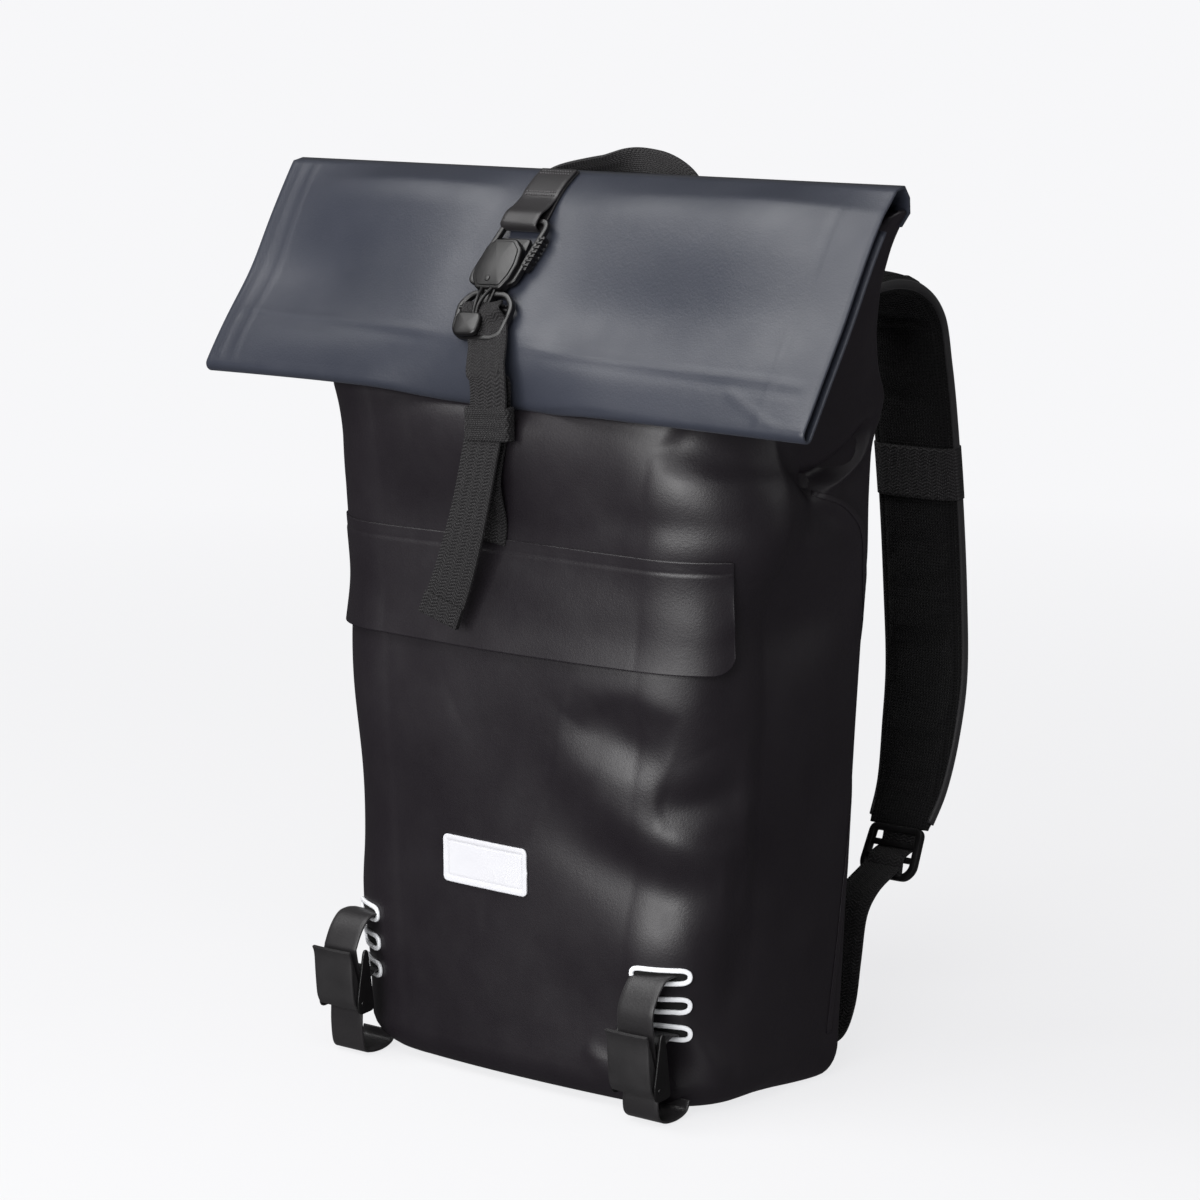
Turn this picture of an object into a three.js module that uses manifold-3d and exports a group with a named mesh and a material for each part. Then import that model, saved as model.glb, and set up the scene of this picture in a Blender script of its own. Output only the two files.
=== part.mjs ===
// A rolltop backpack of coated fabric, in millimetres: +X to its right, its back panel towards +Y, +Z up.
import * as THREE from 'three';
import { mergeVertices } from 'three/addons/utils/BufferGeometryUtils.js';
import Module from 'manifold-3d';

const wasm = await Module();
wasm.setup();

// Bag
const baseWidth = 262;
const baseDepth = 130;
const shoulderWidth = 316;
const flatWidth = 420;
const topHeight = 490;
const foldDrop = 115;
const rimDrop = 14;
const wall = 2;
const cornerRadius = 42;
const seamRadius = 4;
const mouthDepth = 9;
const floorInset = 28;
const frontBow = 7;
const sideBelly = 5;
const creaseDrop = 22;

// Roll of the flattened mouth
const crestSetBack = 2;
const rollReach = 77;
const rollDrop = 117;
const rollSkew = 4.5;
const rollTuck = 118;
const rollCloth = 3;
const rollLayerGap = 0.4;
const rollSwell = 4;
const rollBulge = 9;
const bulgeTop = 32;
const rollPinch = 11;
const pinchReach = 60;

// Pocket flap and label
const pocketHeight = 298;
const pocketSpan = 145;
const pocketDrop = 59;
const pocketCorner = 11;
const pocketLift = 3.5;
const pocketCloth = 1.8;
const weldDrop = 6;
const labelAlong = -7;
const labelHeight = 121;
const labelWidth = 61;
const labelTall = 26;
const labelThick = 1.2;
const labelCorner = 3;

// Closure in the middle of the roll
const closureX = -9;
const closureWebbing = 25;
const webbingThick = 1.4;
const buckleWidth = 33;
const buckleBar = 2;
const upperFrameTop = 34;
const upperFrameLong = 39;
const lowerFrameLong = 27;
const plateLong = 28;
const plateWidth = 25;
const plateThick = 4.5;
const tabLong = 14;
const tailSwing = 12;
const keeperLong = 19;
const keeperThick = 1.2;

// Bottom carry straps
const slotInset = 23;
const slotHeights = { top: 78, middle: 61.5, bottom: 46 };
const slotWidth = 36;
const slotTall = 9.5;
const rimWide = 2.6;
const rimThick = 1.2;
const carryWidth = 25;
const carryStandOff = 11;
const pinHeights = { right: 21, left: 31 };
const pinRadius = 1.5;
const leverLong = 30;
const leverThick = 2.4;
const cheekThick = 2;
const camBarRise = 22;
const anchorWidth = 20;
const anchorThick = 1.1;

// Harness
const padThick = 11;
const strapX = 100;
const strapReach = 117;
const sleeveTall = 20;
const sleeveThick = 1.3;
const lockWidth = 34;
const lockLong = 30;
const lockThick = 5;
const harnessWebbing = 25;
const padWidth = 54;
const handleHalf = 50;
const handleRise = 54;

// Clearance between pieces that touch
const gap = 0.3;

const foldHeight = topHeight - foldDrop;
const rimHeight = topHeight - rimDrop;
const slotAlong = baseWidth / 2 - slotInset;
const halfTurn = Math.PI;
const acrossX = new THREE.Vector3(1, 0, 0);
const inwardY = new THREE.Vector3(0, 1, 0);

function mix(from, to, share) {
  return from + (to - from) * share;
}

// A closed body from points and faces, turned so that its faces look outwards
function solid(points, faces) {
  let volume = 0;
  for (let i = 0; i < faces.length; i += 3) {
    const [a, b, c] = [points[faces[i]], points[faces[i + 1]], points[faces[i + 2]]];
    volume += a.dot(new THREE.Vector3().crossVectors(b, c));
  }
  const geometry = new THREE.BufferGeometry().setFromPoints(points);
  geometry.setIndex(volume < 0 ? faces.slice().reverse() : faces);
  return geometry;
}

// Skins rows of points, each row a closed ring; a loop joins the last row to the first, or both ends are capped
// with faces from one half of the ring to the other
function skin(rows, loop = false) {
  const count = rows[0].length;
  const points = rows.flat();
  const faces = [];
  const strips = loop ? rows.length : rows.length - 1;
  for (let row = 0; row < strips; row++) {
    const here = row * count;
    const next = ((row + 1) % rows.length) * count;
    for (let k = 0; k < count; k++) {
      const after = (k + 1) % count;
      faces.push(here + k, here + after, next + after, here + k, next + after, next + k);
    }
  }
  if (!loop) {
    for (const [start, forward] of [[0, false], [(rows.length - 1) * count, true]]) {
      for (let k = 0; k < count / 2 - 1; k++) {
        const across = [k, k + 1, count - 2 - k, k, count - 2 - k, count - 1 - k].map((at) => at + start);
        faces.push(...(forward ? across : across.reverse()));
      }
    }
  }
  return solid(points, faces);
}

// Carries a ring of [across, out] offsets along a path
function band(path, ringAt, sideAt = () => acrossX) {
  const rows = path.map((at, i) => {
    const share = i / (path.length - 1);
    const ahead = path[Math.min(i + 1, path.length - 1)];
    const behind = path[Math.max(i - 1, 0)];
    const along = new THREE.Vector3().subVectors(ahead, behind).normalize();
    const out = new THREE.Vector3().crossVectors(along, sideAt(share)).normalize();
    const side = new THREE.Vector3().crossVectors(out, along);
    return ringAt(share, at).map(([a, b]) => at.clone().addScaledVector(side, a).addScaledVector(out, b));
  });
  return skin(rows);
}

function flatRing(width, thick) {
  const [w, t] = [width / 2, thick / 2];
  return [[-w, -t], [w, -t], [w, t], [-w, t]];
}

// A cushion section: flat in the middle, with round edges
function padRing(width, thick, roundSteps = 5) {
  const round = thick / 2;
  const ring = [];
  for (const side of [1, -1]) {
    for (let k = 0; k <= roundSteps; k++) {
      const turn = halfTurn * (k / roundSteps - 0.5);
      ring.push([side * (width / 2 - round + round * Math.cos(turn)), side * round * Math.sin(turn)]);
    }
  }
  return ring;
}

// A path through points, with each corner rounded off
function rounded(points, radius, steps = 3) {
  const path = [points[0]];
  for (let i = 1; i < points.length - 1; i++) {
    const corner = points[i];
    const [back, ahead] = [points[i - 1], points[i + 1]].map((end) => {
      const leg = new THREE.Vector3().subVectors(end, corner);
      return leg.setLength(Math.min(radius, leg.length() * 0.45)).add(corner);
    });
    path.push(...new THREE.QuadraticBezierCurve3(back, corner, ahead).getPoints(steps));
  }
  path.push(points[points.length - 1]);
  return path;
}

function toManifold(geometry) {
  const plain = geometry.clone();
  plain.deleteAttribute('normal');
  plain.deleteAttribute('uv');
  const merged = mergeVertices(plain, 1e-4);
  return new wasm.Manifold(new wasm.Mesh({
    numProp: 3,
    vertProperties: new Float32Array(merged.attributes.position.array),
    triVerts: new Uint32Array(merged.index.array),
  }));
}

function fromManifold(body) {
  const mesh = body.getMesh();
  const geometry = new THREE.BufferGeometry();
  geometry.setAttribute('position', new THREE.BufferAttribute(mesh.vertProperties, 3));
  geometry.setIndex(new THREE.BufferAttribute(mesh.triVerts, 1));
  return geometry;
}

function joined(geometries) {
  return fromManifold(geometries.map(toManifold).reduce((sum, piece) => sum.add(piece)));
}

function cutBy(geometry, cutters) {
  return fromManifold(cutters.map(toManifold).reduce((body, cutter) => body.subtract(cutter), toManifold(geometry)));
}

// A rounded rectangle as a closed list of [x, y], counter-clockwise
function roundedRectangle(width, tall, radius, cornerSteps = 3) {
  const outline = [];
  const corners = [[1, 1], [-1, 1], [-1, -1], [1, -1]];
  corners.forEach(([right, up], quarter) => {
    for (let k = 0; k <= cornerSteps; k++) {
      const turn = (halfTurn / 2) * (quarter + k / cornerSteps);
      const x = right * (width / 2 - radius) + radius * Math.cos(turn);
      outline.push([x, up * (tall / 2 - radius) + radius * Math.sin(turn)]);
    }
  });
  return outline;
}

function extruded(outline, holes, depth) {
  const shape = new THREE.Shape(outline.map(([x, y]) => new THREE.Vector2(x, y)));
  shape.holes = holes.map((hole) => new THREE.Path(hole.map(([x, y]) => new THREE.Vector2(x, y))));
  return new THREE.ExtrudeGeometry(shape, { depth, bevelEnabled: false });
}

function shifted(outline, x, y) {
  return outline.map(([a, b]) => [a + x, b + y]);
}

// The same outline with its long sides divided, so that it can be bent
function divided(outline, longest) {
  return outline.flatMap(([x, y], i) => {
    const [nextX, nextY] = outline[(i + 1) % outline.length];
    const parts = Math.max(1, Math.ceil(Math.hypot(nextX - x, nextY - y) / longest));
    return [...Array(parts).keys()].map((k) => [mix(x, nextX, k / parts), mix(y, nextY, k / parts)]);
  });
}

// Sections of the body, from the floor to the crease (level 0 to 1) and on to the rim (1 to 2).
// spread: width, from base to shoulder (0 to 1) and on to the flat mouth (2). inset: share of floorInset.
// close: how far front and back have come together. bow, belly, sag: shares of the three swellings.
const bodySections = [
  { level: 0.000, spread: 0.00, inset: 1.00, close: 0.00, bow: 0.0, belly: 0.0, sag: 0.0 },
  { level: 0.008, spread: 0.00, inset: 0.50, close: 0.00, bow: 0.1, belly: 0.0, sag: 0.0 },
  { level: 0.020, spread: 0.00, inset: 0.24, close: 0.00, bow: 0.2, belly: 0.0, sag: 0.0 },
  { level: 0.035, spread: 0.00, inset: 0.08, close: 0.00, bow: 0.3, belly: 0.0, sag: 0.0 },
  { level: 0.060, spread: 0.00, inset: 0.00, close: 0.00, bow: 0.4, belly: 0.1, sag: 0.0 },
  { level: 0.180, spread: 0.08, inset: 0.00, close: 0.00, bow: 0.7, belly: 0.5, sag: 0.0 },
  { level: 0.340, spread: 0.20, inset: 0.00, close: 0.00, bow: 1.0, belly: 0.9, sag: 0.0 },
  { level: 0.500, spread: 0.33, inset: 0.00, close: 0.00, bow: 1.0, belly: 1.0, sag: 0.0 },
  { level: 0.650, spread: 0.46, inset: 0.00, close: 0.00, bow: 0.9, belly: 1.0, sag: 0.0 },
  { level: 0.770, spread: 0.56, inset: 0.00, close: 0.00, bow: 0.8, belly: 0.8, sag: 0.1 },
  { level: 0.860, spread: 0.62, inset: 0.00, close: 0.00, bow: 0.7, belly: 0.3, sag: 0.3 },
  { level: 0.920, spread: 0.66, inset: 0.00, close: 0.00, bow: 0.6, belly: -0.3, sag: 0.6 },
  { level: 0.960, spread: 0.78, inset: 0.00, close: 0.00, bow: 0.5, belly: -0.7, sag: 0.9 },
  { level: 1.000, spread: 1.00, inset: 0.00, close: 0.00, bow: 0.4, belly: -0.7, sag: 1.0 },
  { level: 1.120, spread: 1.01, inset: 0.00, close: 0.14, bow: 0.3, belly: -0.5, sag: 0.9 },
  { level: 1.350, spread: 1.16, inset: 0.00, close: 0.38, bow: 0.1, belly: -0.2, sag: 0.5 },
  { level: 1.600, spread: 1.40, inset: 0.00, close: 0.62, bow: 0.0, belly: -0.1, sag: 0.2 },
  { level: 1.820, spread: 1.70, inset: 0.00, close: 0.84, bow: 0.0, belly: 0.0, sag: 0.0 },
  { level: 2.000, spread: 1.99, inset: 0.00, close: 1.00, bow: 0.0, belly: 0.0, sag: 0.0 },
].map((row) => {
  const upper = Math.max(row.level - 1, 0);
  const widening = Math.max(row.spread - 1, 0);
  const lowerWidth = mix(baseWidth, shoulderWidth, Math.min(row.spread, 1));
  const inset = row.inset * floorInset;
  return {
    z: Math.min(row.level, 1) * foldHeight + upper * (rimHeight - foldHeight),
    halfWidth: (lowerWidth + widening * (flatWidth - shoulderWidth)) / 2 - inset,
    front: mix(-baseDepth / 2, 0, row.close) + inset,
    back: mix(baseDepth / 2, mouthDepth, row.close) - inset,
    radius: Math.max(mix(cornerRadius, mouthDepth / 3, row.close) - inset * 0.6, mouthDepth / 3),
    seam: Math.min(seamRadius, mix(seamRadius, mouthDepth / 3, row.close)),
    bow: row.bow * frontBow,
    belly: row.belly * sideBelly,
    sag: row.sag * creaseDrop,
  };
});

// Dents of the cloth: place as shares of half width, half depth and rim height, reach as shares of baseDepth,
// and push as shares of frontBow
const dents = [
  { x: -0.06, y: -1, z: 0.78, wide: 0.65, tall: 0.23, push: 1.43 },
  { x: 0.55, y: -1, z: 0.76, wide: 0.23, tall: 0.09, push: 0.71 },
  { x: 0.96, y: -0.5, z: 0.60, wide: 0.26, tall: 0.28, push: 0.71 },
  { x: 0.35, y: -1, z: 0.42, wide: 0.35, tall: 0.20, push: 0.57 },
  { x: -0.55, y: -1, z: 0.30, wide: 0.40, tall: 0.31, push: 0.43 },
  { x: 0.99, y: 0.2, z: 0.34, wide: 0.35, tall: 0.46, push: 0.57 },
  { x: -0.99, y: 0.1, z: 0.42, wide: 0.35, tall: 0.54, push: 0.57 },
];

function dented(point) {
  const moved = point.clone();
  for (const dent of dents) {
    const centre = new THREE.Vector3(dent.x * baseWidth / 2, dent.y * baseDepth / 2, dent.z * rimHeight);
    const flat = Math.hypot(point.x - centre.x, point.y - centre.y) / (dent.wide * baseDepth);
    const rise = (point.z - centre.z) / (dent.tall * baseDepth);
    const depth = dent.push * frontBow * Math.exp(-flat * flat - rise * rise);
    moved.x -= depth * Math.sign(dent.x) * Math.max(0, Math.abs(dent.x) - 0.9) * 10;
    moved.y += depth * Math.min(1, 10 * (1 - Math.abs(dent.x)));
  }
  return moved;
}

function bowAt(section, x) {
  const flat = section.halfWidth - section.radius;
  return section.bow * (1 - Math.min(1, (x / flat) ** 2));
}

// The body's outline at one section, moved inwards by inward
function bodyRing(section, inward) {
  const width = section.halfWidth - inward;
  const radius = Math.max(section.radius - inward, 1);
  const seam = Math.max(section.seam - inward, 1);
  const [front, back] = [section.front + inward, section.back - inward];
  const lift = inward * Math.max(0, 1 - section.z / (0.06 * foldHeight));
  const half = [];
  const add = (x, y, drop = 0) => half.push(new THREE.Vector3(x, y, section.z + lift - drop));
  const frontSteps = 7;
  for (let k = 0; k < frontSteps; k++) {
    const x = (width - radius) * k / frontSteps;
    add(x, front - bowAt(section, x));
  }
  for (let k = 0; k <= 4; k++) {
    const turn = halfTurn * k / 8;
    add(width - radius + radius * Math.sin(turn), front + radius - radius * Math.cos(turn));
  }
  const sideSteps = 5;
  for (let k = 1; k < sideSteps; k++) {
    const share = 2 * k / sideSteps - 1;
    const swell = 1 - share * share;
    add(width + section.belly * swell, mix(front + radius, back - seam, k / sideSteps), section.sag * swell);
  }
  for (let k = 0; k <= 2; k++) {
    const turn = halfTurn * k / 4;
    add(width - seam + seam * Math.cos(turn), back - seam + seam * Math.sin(turn));
  }
  const backSteps = 3;
  for (let k = 1; k <= backSteps; k++) {
    add((width - seam) * (1 - k / backSteps), back);
  }
  const other = half.slice(1, -1).reverse().map((point) => new THREE.Vector3(-point.x, point.y, point.z));
  return [...half, ...other].map(dented);
}

// The two sections that a height lies between, and its share of the way from the lower to the upper
function sectionsRound(z) {
  const above = Math.max(1, bodySections.findIndex((section) => section.z >= z));
  const [low, high] = [bodySections[above - 1], bodySections[above]];
  return { low, high, share: (z - low.z) / (high.z - low.z) };
}

// A point in front of one section: along is measured round it from the middle of the front
function onSection(section, along, out) {
  const flat = section.halfWidth - section.radius;
  const turn = Math.max(0, Math.min((Math.abs(along) - flat) / section.radius, halfTurn / 2));
  const x = Math.min(Math.abs(along), flat) + (section.radius + out) * Math.sin(turn);
  const y = section.front + section.radius - (section.radius + out) * Math.cos(turn) - bowAt(section, along);
  return dented(new THREE.Vector3(Math.sign(along) * x, y, section.z));
}

function onBody(along, z, out) {
  const { low, high, share } = sectionsRound(z);
  return onSection(low, along, out).lerp(onSection(high, along, out), share);
}

// A slot's outline laid on the body, as closed rings at given stand-offs
function ringOnBody(outline, along, z, out) {
  return outline.map(([x, y]) => onBody(along + x, z + y, out));
}

// The outline of a slot's rim, or of the slot itself where inset is the rim's width
function slotOutline(inset) {
  const tall = slotTall - 2 * inset;
  return divided(roundedRectangle(slotWidth - 2 * inset, tall, tall / 2 - 0.1, 2), slotWidth / 6);
}

function bodyShell() {
  const outer = bodySections.map((section) => bodyRing(section, 0));
  const inner = bodySections.map((section) => {
    const share = Math.min(1, section.z / (0.06 * foldHeight));
    const ring = bodyRing(section, wall * share);
    return share < 1 ? ring.map((point) => point.setZ(section.z + wall * (1 - share))) : ring;
  });
  const cup = skin([...outer, ...inner.reverse()]);
  const hole = slotOutline(rimWide);
  const cutters = [];
  for (const side of [1, -1]) {
    for (const z of Object.values(slotHeights)) {
      cutters.push(skin([-2 * wall, 3 * wall].map((out) => ringOnBody(hole, side * slotAlong, z, out))));
    }
  }
  return cutBy(cup, cutters);
}

function slotRim(side, z) {
  const [outer, inner] = [slotOutline(0), slotOutline(rimWide)];
  const onFace = (outline, out) => ringOnBody(outline, side * slotAlong, z, out);
  const top = gap + rimThick;
  return skin([onFace(outer, gap), onFace(outer, top), onFace(inner, top), onFace(inner, gap)], true);
}

// A point on the roll's slope: down from the crest, and out from the cloth
const slopeLong = Math.hypot(rollReach, rollDrop);
function onSlope(x, down, out) {
  const [reach, drop] = [rollReach / slopeLong, rollDrop / slopeLong];
  return new THREE.Vector3(x, -crestSetBack - down * reach - out * drop, topHeight - down * drop + out * reach);
}

// How far the roll's cloth lies in front of its slope: it bulges, and the closure pulls its lower edge in
const bulgeEnd = slopeLong - 38;
function clothLift(x, down) {
  const rise = 1 - Math.max(0, 1 - down / bulgeTop) ** 2;
  const fall = Math.min(1, Math.max(0, (down - bulgeEnd) / (slopeLong - bulgeEnd))) ** 2;
  const across = 1 - (2 * x / flatWidth) ** 2;
  const near = Math.exp(-(((x - closureX) / pinchReach) ** 4));
  return rollBulge * across * rise * (1 - fall) - rollPinch * near * fall;
}

// A point over the roll's cloth, at a stand-off measured square to it
function onCloth(x, down, out) {
  const [before, after] = [-0.5, 0.5].map((step) => onSlope(x, down + step, clothLift(x, down + step)));
  const along = after.clone().sub(before).normalize();
  const square = new THREE.Vector3().crossVectors(along, acrossX);
  return before.lerp(after, 0.5).addScaledVector(square, out);
}

// Soft swellings of the roll: place and reach as shares of half width and slope, rise as a share of rollSwell
const swells = [
  { x: -0.50, down: 0.28, wide: 0.29, tall: 0.21, rise: 1.0 },
  { x: -0.74, down: 0.60, wide: 0.24, tall: 0.24, rise: -0.6 },
  { x: 0.42, down: 0.55, wide: 0.21, tall: 0.21, rise: -0.7 },
  { x: 0.66, down: 0.70, wide: 0.19, tall: 0.26, rise: 0.9 },
  { x: 0.45, down: 0.15, wide: 0.29, tall: 0.16, rise: 0.6 },
  { x: -0.30, down: 0.80, wide: 0.29, tall: 0.17, rise: 0.5 },
];

function swellAt(x, down) {
  const held = 1 - Math.exp(-(((x - closureX) / buckleWidth) ** 4));
  const edge = Math.min(1, down / 20, (slopeLong - down) / 12);
  const rise = swells.reduce((sum, swell) => {
    const sideways = (2 * x / flatWidth - swell.x) / swell.wide;
    const along = (down / slopeLong - swell.down) / swell.tall;
    return sum + swell.rise * Math.exp(-sideways * sideways - along * along);
  }, 0);
  return rollSwell * held * Math.max(0, edge) * rise;
}

// The roll in side view, as [down, out] from the rim over the crest, down, and tucked up behind
function rollPath() {
  const half = rollCloth / 2;
  const path = [];
  const layers = [-half, -half - rollCloth - rollLayerGap];
  for (const share of [0.06, 0.16, 0.28, 0.40, 0.52, 0.64, 0.76, 0.88, 0.97]) {
    path.push([share * slopeLong, layers[0]]);
  }
  const turnRadius = (layers[0] - layers[1]) / 2;
  for (let k = 1; k < 6; k++) {
    const turn = halfTurn * k / 6;
    const down = slopeLong - half - turnRadius + turnRadius * Math.sin(turn);
    path.push([down, (layers[0] + layers[1]) / 2 + turnRadius * Math.cos(turn)]);
  }
  for (const share of [0.97, 0.8, 0.6, 0.4]) {
    path.push([share * slopeLong, layers[1]]);
  }
  path.push([slopeLong - rollTuck, layers[1]]);
  return path;
}

function rolltop() {
  const across = 12;
  const rows = rollPath();
  const slopeStart = onSlope(0, rows[0][0], rows[0][1]);
  const rise = (slopeStart.y - mouthDepth / 2) / rollReach * rollDrop;
  const foot = new THREE.Vector3(0, mouthDepth / 2, rimHeight + gap);
  const bend = new THREE.Vector3(0, mouthDepth / 2, slopeStart.z - rise);
  const above = new THREE.Vector3(0, mouthDepth / 2, mix(rimHeight, topHeight, 0.4));
  const crest = new THREE.QuadraticBezierCurve3(above, bend, slopeStart);
  const start = [foot, ...crest.getPoints(5).slice(0, -1)];
  const centres = (x) => [
    ...start.map(({ y, z }) => new THREE.Vector3(x, y, z)),
    ...rows.map(([down, out]) => {
      const askew = down * (1 + rollSkew / slopeLong * x / (flatWidth / 2));
      return onCloth(x, askew, out + swellAt(x, Math.min(down, slopeLong)));
    }),
  ];
  const columns = [];
  for (let k = 0; k <= across; k++) {
    const x = flatWidth * (k / across - 0.5);
    const line = centres(x);
    columns.push(line.map((at, i) => {
      const ahead = line[Math.min(i + 1, line.length - 1)];
      const behind = line[Math.max(i - 1, 0)];
      const along = new THREE.Vector3().subVectors(ahead, behind).setX(0).normalize();
      if (i === 0) along.set(0, 0, 1);
      const out = new THREE.Vector3().crossVectors(along, acrossX);
      const root = Math.max(0, 1 - i / 3);
      const half = mix(rollCloth, mouthDepth, root * root) / 2;
      return [at.clone().addScaledVector(out, half), at.clone().addScaledVector(out, -half)];
    }));
  }
  const stations = columns[0].length;
  const rings = [];
  for (let i = 0; i < stations; i++) {
    const near = columns.map((column) => column[i][0]);
    const far = columns.map((column) => column[i][1]).reverse();
    rings.push([...near, ...far]);
  }
  return skin(rings);
}

// A patch of cloth laid on the body: its middle and top, its corners, and its stand-off at each share of its drop
function patchOnBody({ along, top, width, tall, topCorner, bottomCorner, thick, drops, outAt }) {
  const [wide, fine] = [baseWidth / 14, cornerRadius / 6];
  const bite = (corner, fromEnd) => {
    const share = Math.max(0, 1 - fromEnd / corner);
    return corner * (1 - Math.sqrt(1 - share * share));
  };
  const corner = Math.max(topCorner, bottomCorner);
  const right = [];
  for (let place = 0; place < width / 2 - corner; place += place < baseWidth / 2 - cornerRadius - 8 ? wide : fine) {
    right.push(place);
  }
  right.push(...[1, 0.7, 0.35, 0.1, 0].map((share) => width / 2 - corner * share));
  const places = [...right.slice(1).reverse().map((place) => -place), ...right];
  const rings = drops.map((drop) => {
    const row = places.map((place) => {
      const fromEnd = width / 2 - Math.abs(place);
      const high = top - bite(topCorner, fromEnd);
      const low = top - tall + bite(bottomCorner, fromEnd);
      return [along + place, mix(high, low, drop), outAt(drop)];
    });
    const [near, far] = [0, thick].map((lift) => row.map(([place, z, out]) => onBody(place, z, out + lift)));
    return [...near, ...far.reverse()];
  });
  return skin(rings);
}

function pocketFlap() {
  return patchOnBody({
    along: 0, top: pocketHeight, width: 2 * pocketSpan, tall: pocketDrop, topCorner: 2, bottomCorner: pocketCorner,
    thick: pocketCloth, drops: [0, weldDrop / pocketDrop, 0.4, 0.7, 1],
    outAt: (drop) => gap + pocketLift * drop * drop,
  });
}

function labelPatch() {
  return patchOnBody({
    along: labelAlong, top: labelHeight + labelTall / 2, width: labelWidth, tall: labelTall,
    topCorner: labelCorner, bottomCorner: labelCorner, thick: labelThick, drops: [0, 0.5, 1],
    outAt: () => gap,
  });
}

// Closure: bars lie this far above the roll's cloth, with the webbing passing under them
const barOut = gap + webbingThick + gap + buckleBar;
const wrapReach = buckleBar + gap + webbingThick / 2;
const lowerFrameTop = upperFrameTop + upperFrameLong + gap;
const lowerBarDown = lowerFrameTop + 11;

// Turns round a bar on one side of it: -1 above it on the slope, 1 below it
function wrapRound(down, way) {
  return [-1, 1].map((lift) => onCloth(closureX, down + way * wrapReach, barOut + lift * wrapReach));
}

function anchorTape() {
  const low = gap + webbingThick / 2;
  const bar = upperFrameTop + buckleBar;
  const path = [
    ...[6, 14, 22, 30].map((down) => onCloth(closureX, down, low)),
    ...wrapRound(bar, 1),
    onCloth(closureX, bar - 4, barOut + wrapReach),
    onCloth(closureX, bar - 11, low + webbingThick + gap),
    ...[19, 14, 10].map((down) => onCloth(closureX, down, low + webbingThick + gap)),
  ];
  return band(rounded(path, 1.2, 2), () => flatRing(closureWebbing, webbingThick));
}

// A buckle frame: an outline with windows, its bars round the webbing
function buckleFrame(long, windows, corner) {
  const outline = roundedRectangle(buckleWidth, long, corner);
  const holes = windows.map(([top, bottom]) => {
    const tall = bottom - top;
    return shifted(roundedRectangle(closureWebbing + 1.4, tall, 1), 0, long / 2 - (top + bottom) / 2);
  });
  return extruded(outline, holes, 2 * buckleBar);
}

function octagon(width, tall, cut) {
  const [w, t] = [width / 2, tall / 2];
  return [[w, -t + cut], [w, t - cut], [w - cut, t], [-w + cut, t], [-w, t - cut], [-w, -t + cut],
    [-w + cut, -t], [w - cut, -t]];
}

function buckleTab() {
  const [half, leg] = [buckleWidth / 2, (buckleWidth - closureWebbing) / 2 - 1];
  const lid = webbingThick + 2 * gap;
  const profile = [[-half, 0], [-half, lid + 2.4], [half, lid + 2.4], [half, 0], [half - leg, 0], [half - leg, lid],
    [-half + leg, lid], [-half + leg, 0]];
  return extruded(profile, [], tabLong);
}

// Where the webbing leaves the roll's edge, and how far its two runs hang apart in the keeper
const hangY = onCloth(closureX, slopeLong, gap + webbingThick / 2).y - gap;
const hangZ = onCloth(closureX, slopeLong, 0).z - 3;
const runGap = webbingThick + 2 * gap;

// The closure webbing: up from the pocket seam, round the lower bar, and down again as the tail
function closurePath() {
  const low = 2 * gap + webbingThick / 2;
  const high = low + runGap;
  const at = (y, z) => new THREE.Vector3(closureX, y, z);
  const lastFrame = lowerFrameTop + lowerFrameLong;
  const runDown = [0, 0.2, 0.4, 0.6, 0.8, 0.98].map((share) => mix(lowerBarDown + 9, slopeLong, share));
  const up = [
    onBody(closureX, pocketHeight + 2, low),
    at(hangY, hangZ - keeperLong - 12),
    at(hangY, hangZ),
    ...runDown.toReversed().map((down) => onCloth(closureX, down, low)),
  ];
  const hang = [0.25, 0.5, 0.75, 1].map((share) => new THREE.Vector3(
    closureX - tailSwing * share ** 1.6,
    hangY - runGap - 8 * share,
    mix(hangZ - keeperLong - 10, pocketHeight - pocketDrop, share),
  ));
  const down = [
    onCloth(closureX, lowerBarDown + 9, barOut + wrapReach),
    onCloth(closureX, lastFrame + 3, barOut + wrapReach),
    ...runDown.slice(3).map((down) => onCloth(closureX, down, high + gap)),
    at(hangY - runGap, hangZ),
    at(hangY - runGap, hangZ - keeperLong - 10),
    ...hang,
  ];
  const wrap = rounded([up.at(-1), ...wrapRound(lowerBarDown, -1), down[0]], 1.2, 2);
  return [...rounded(up, 4, 3), ...wrap.slice(1, -1), ...rounded(down, 4, 3)];
}

// A flat sleeve closed round what runs through it, along a path
function sleeve(path, width, tall, thick) {
  const rows = (grow) => path.map((at, i) => {
    const along = new THREE.Vector3()
      .subVectors(path[Math.min(i + 1, path.length - 1)], path[Math.max(i - 1, 0)]).normalize();
    const out = new THREE.Vector3().crossVectors(along, acrossX).normalize();
    return padRing(width + 2 * grow, tall + 2 * grow, 4)
      .map(([a, b]) => at.clone().addScaledVector(acrossX, a).addScaledVector(out, b));
  });
  return skin([...rows(thick), ...rows(0).reverse()], true);
}

function strapKeeper() {
  const top = new THREE.Vector3(closureX, hangY - runGap / 2, hangZ - 3);
  const bottom = top.clone().setZ(top.z - keeperLong);
  const hollow = 2 * webbingThick + 5 * gap;
  return sleeve([top, bottom], closureWebbing + hollow, hollow, keeperThick);
}

// Carry strap: a loop from the top slot through the cam buckle, under the bag and up to the bottom slot
const faceY = onBody(slotAlong - slotWidth / 2, slotHeights.top, 0).y;
const slotEnds = [-1, 1].map((end) => onBody(slotAlong + end * (slotWidth / 2 - rimWide), slotHeights.bottom, 0).x);
const carryX = (slotEnds[0] + slotEnds[1]) / 2 - 2 * gap;

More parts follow.
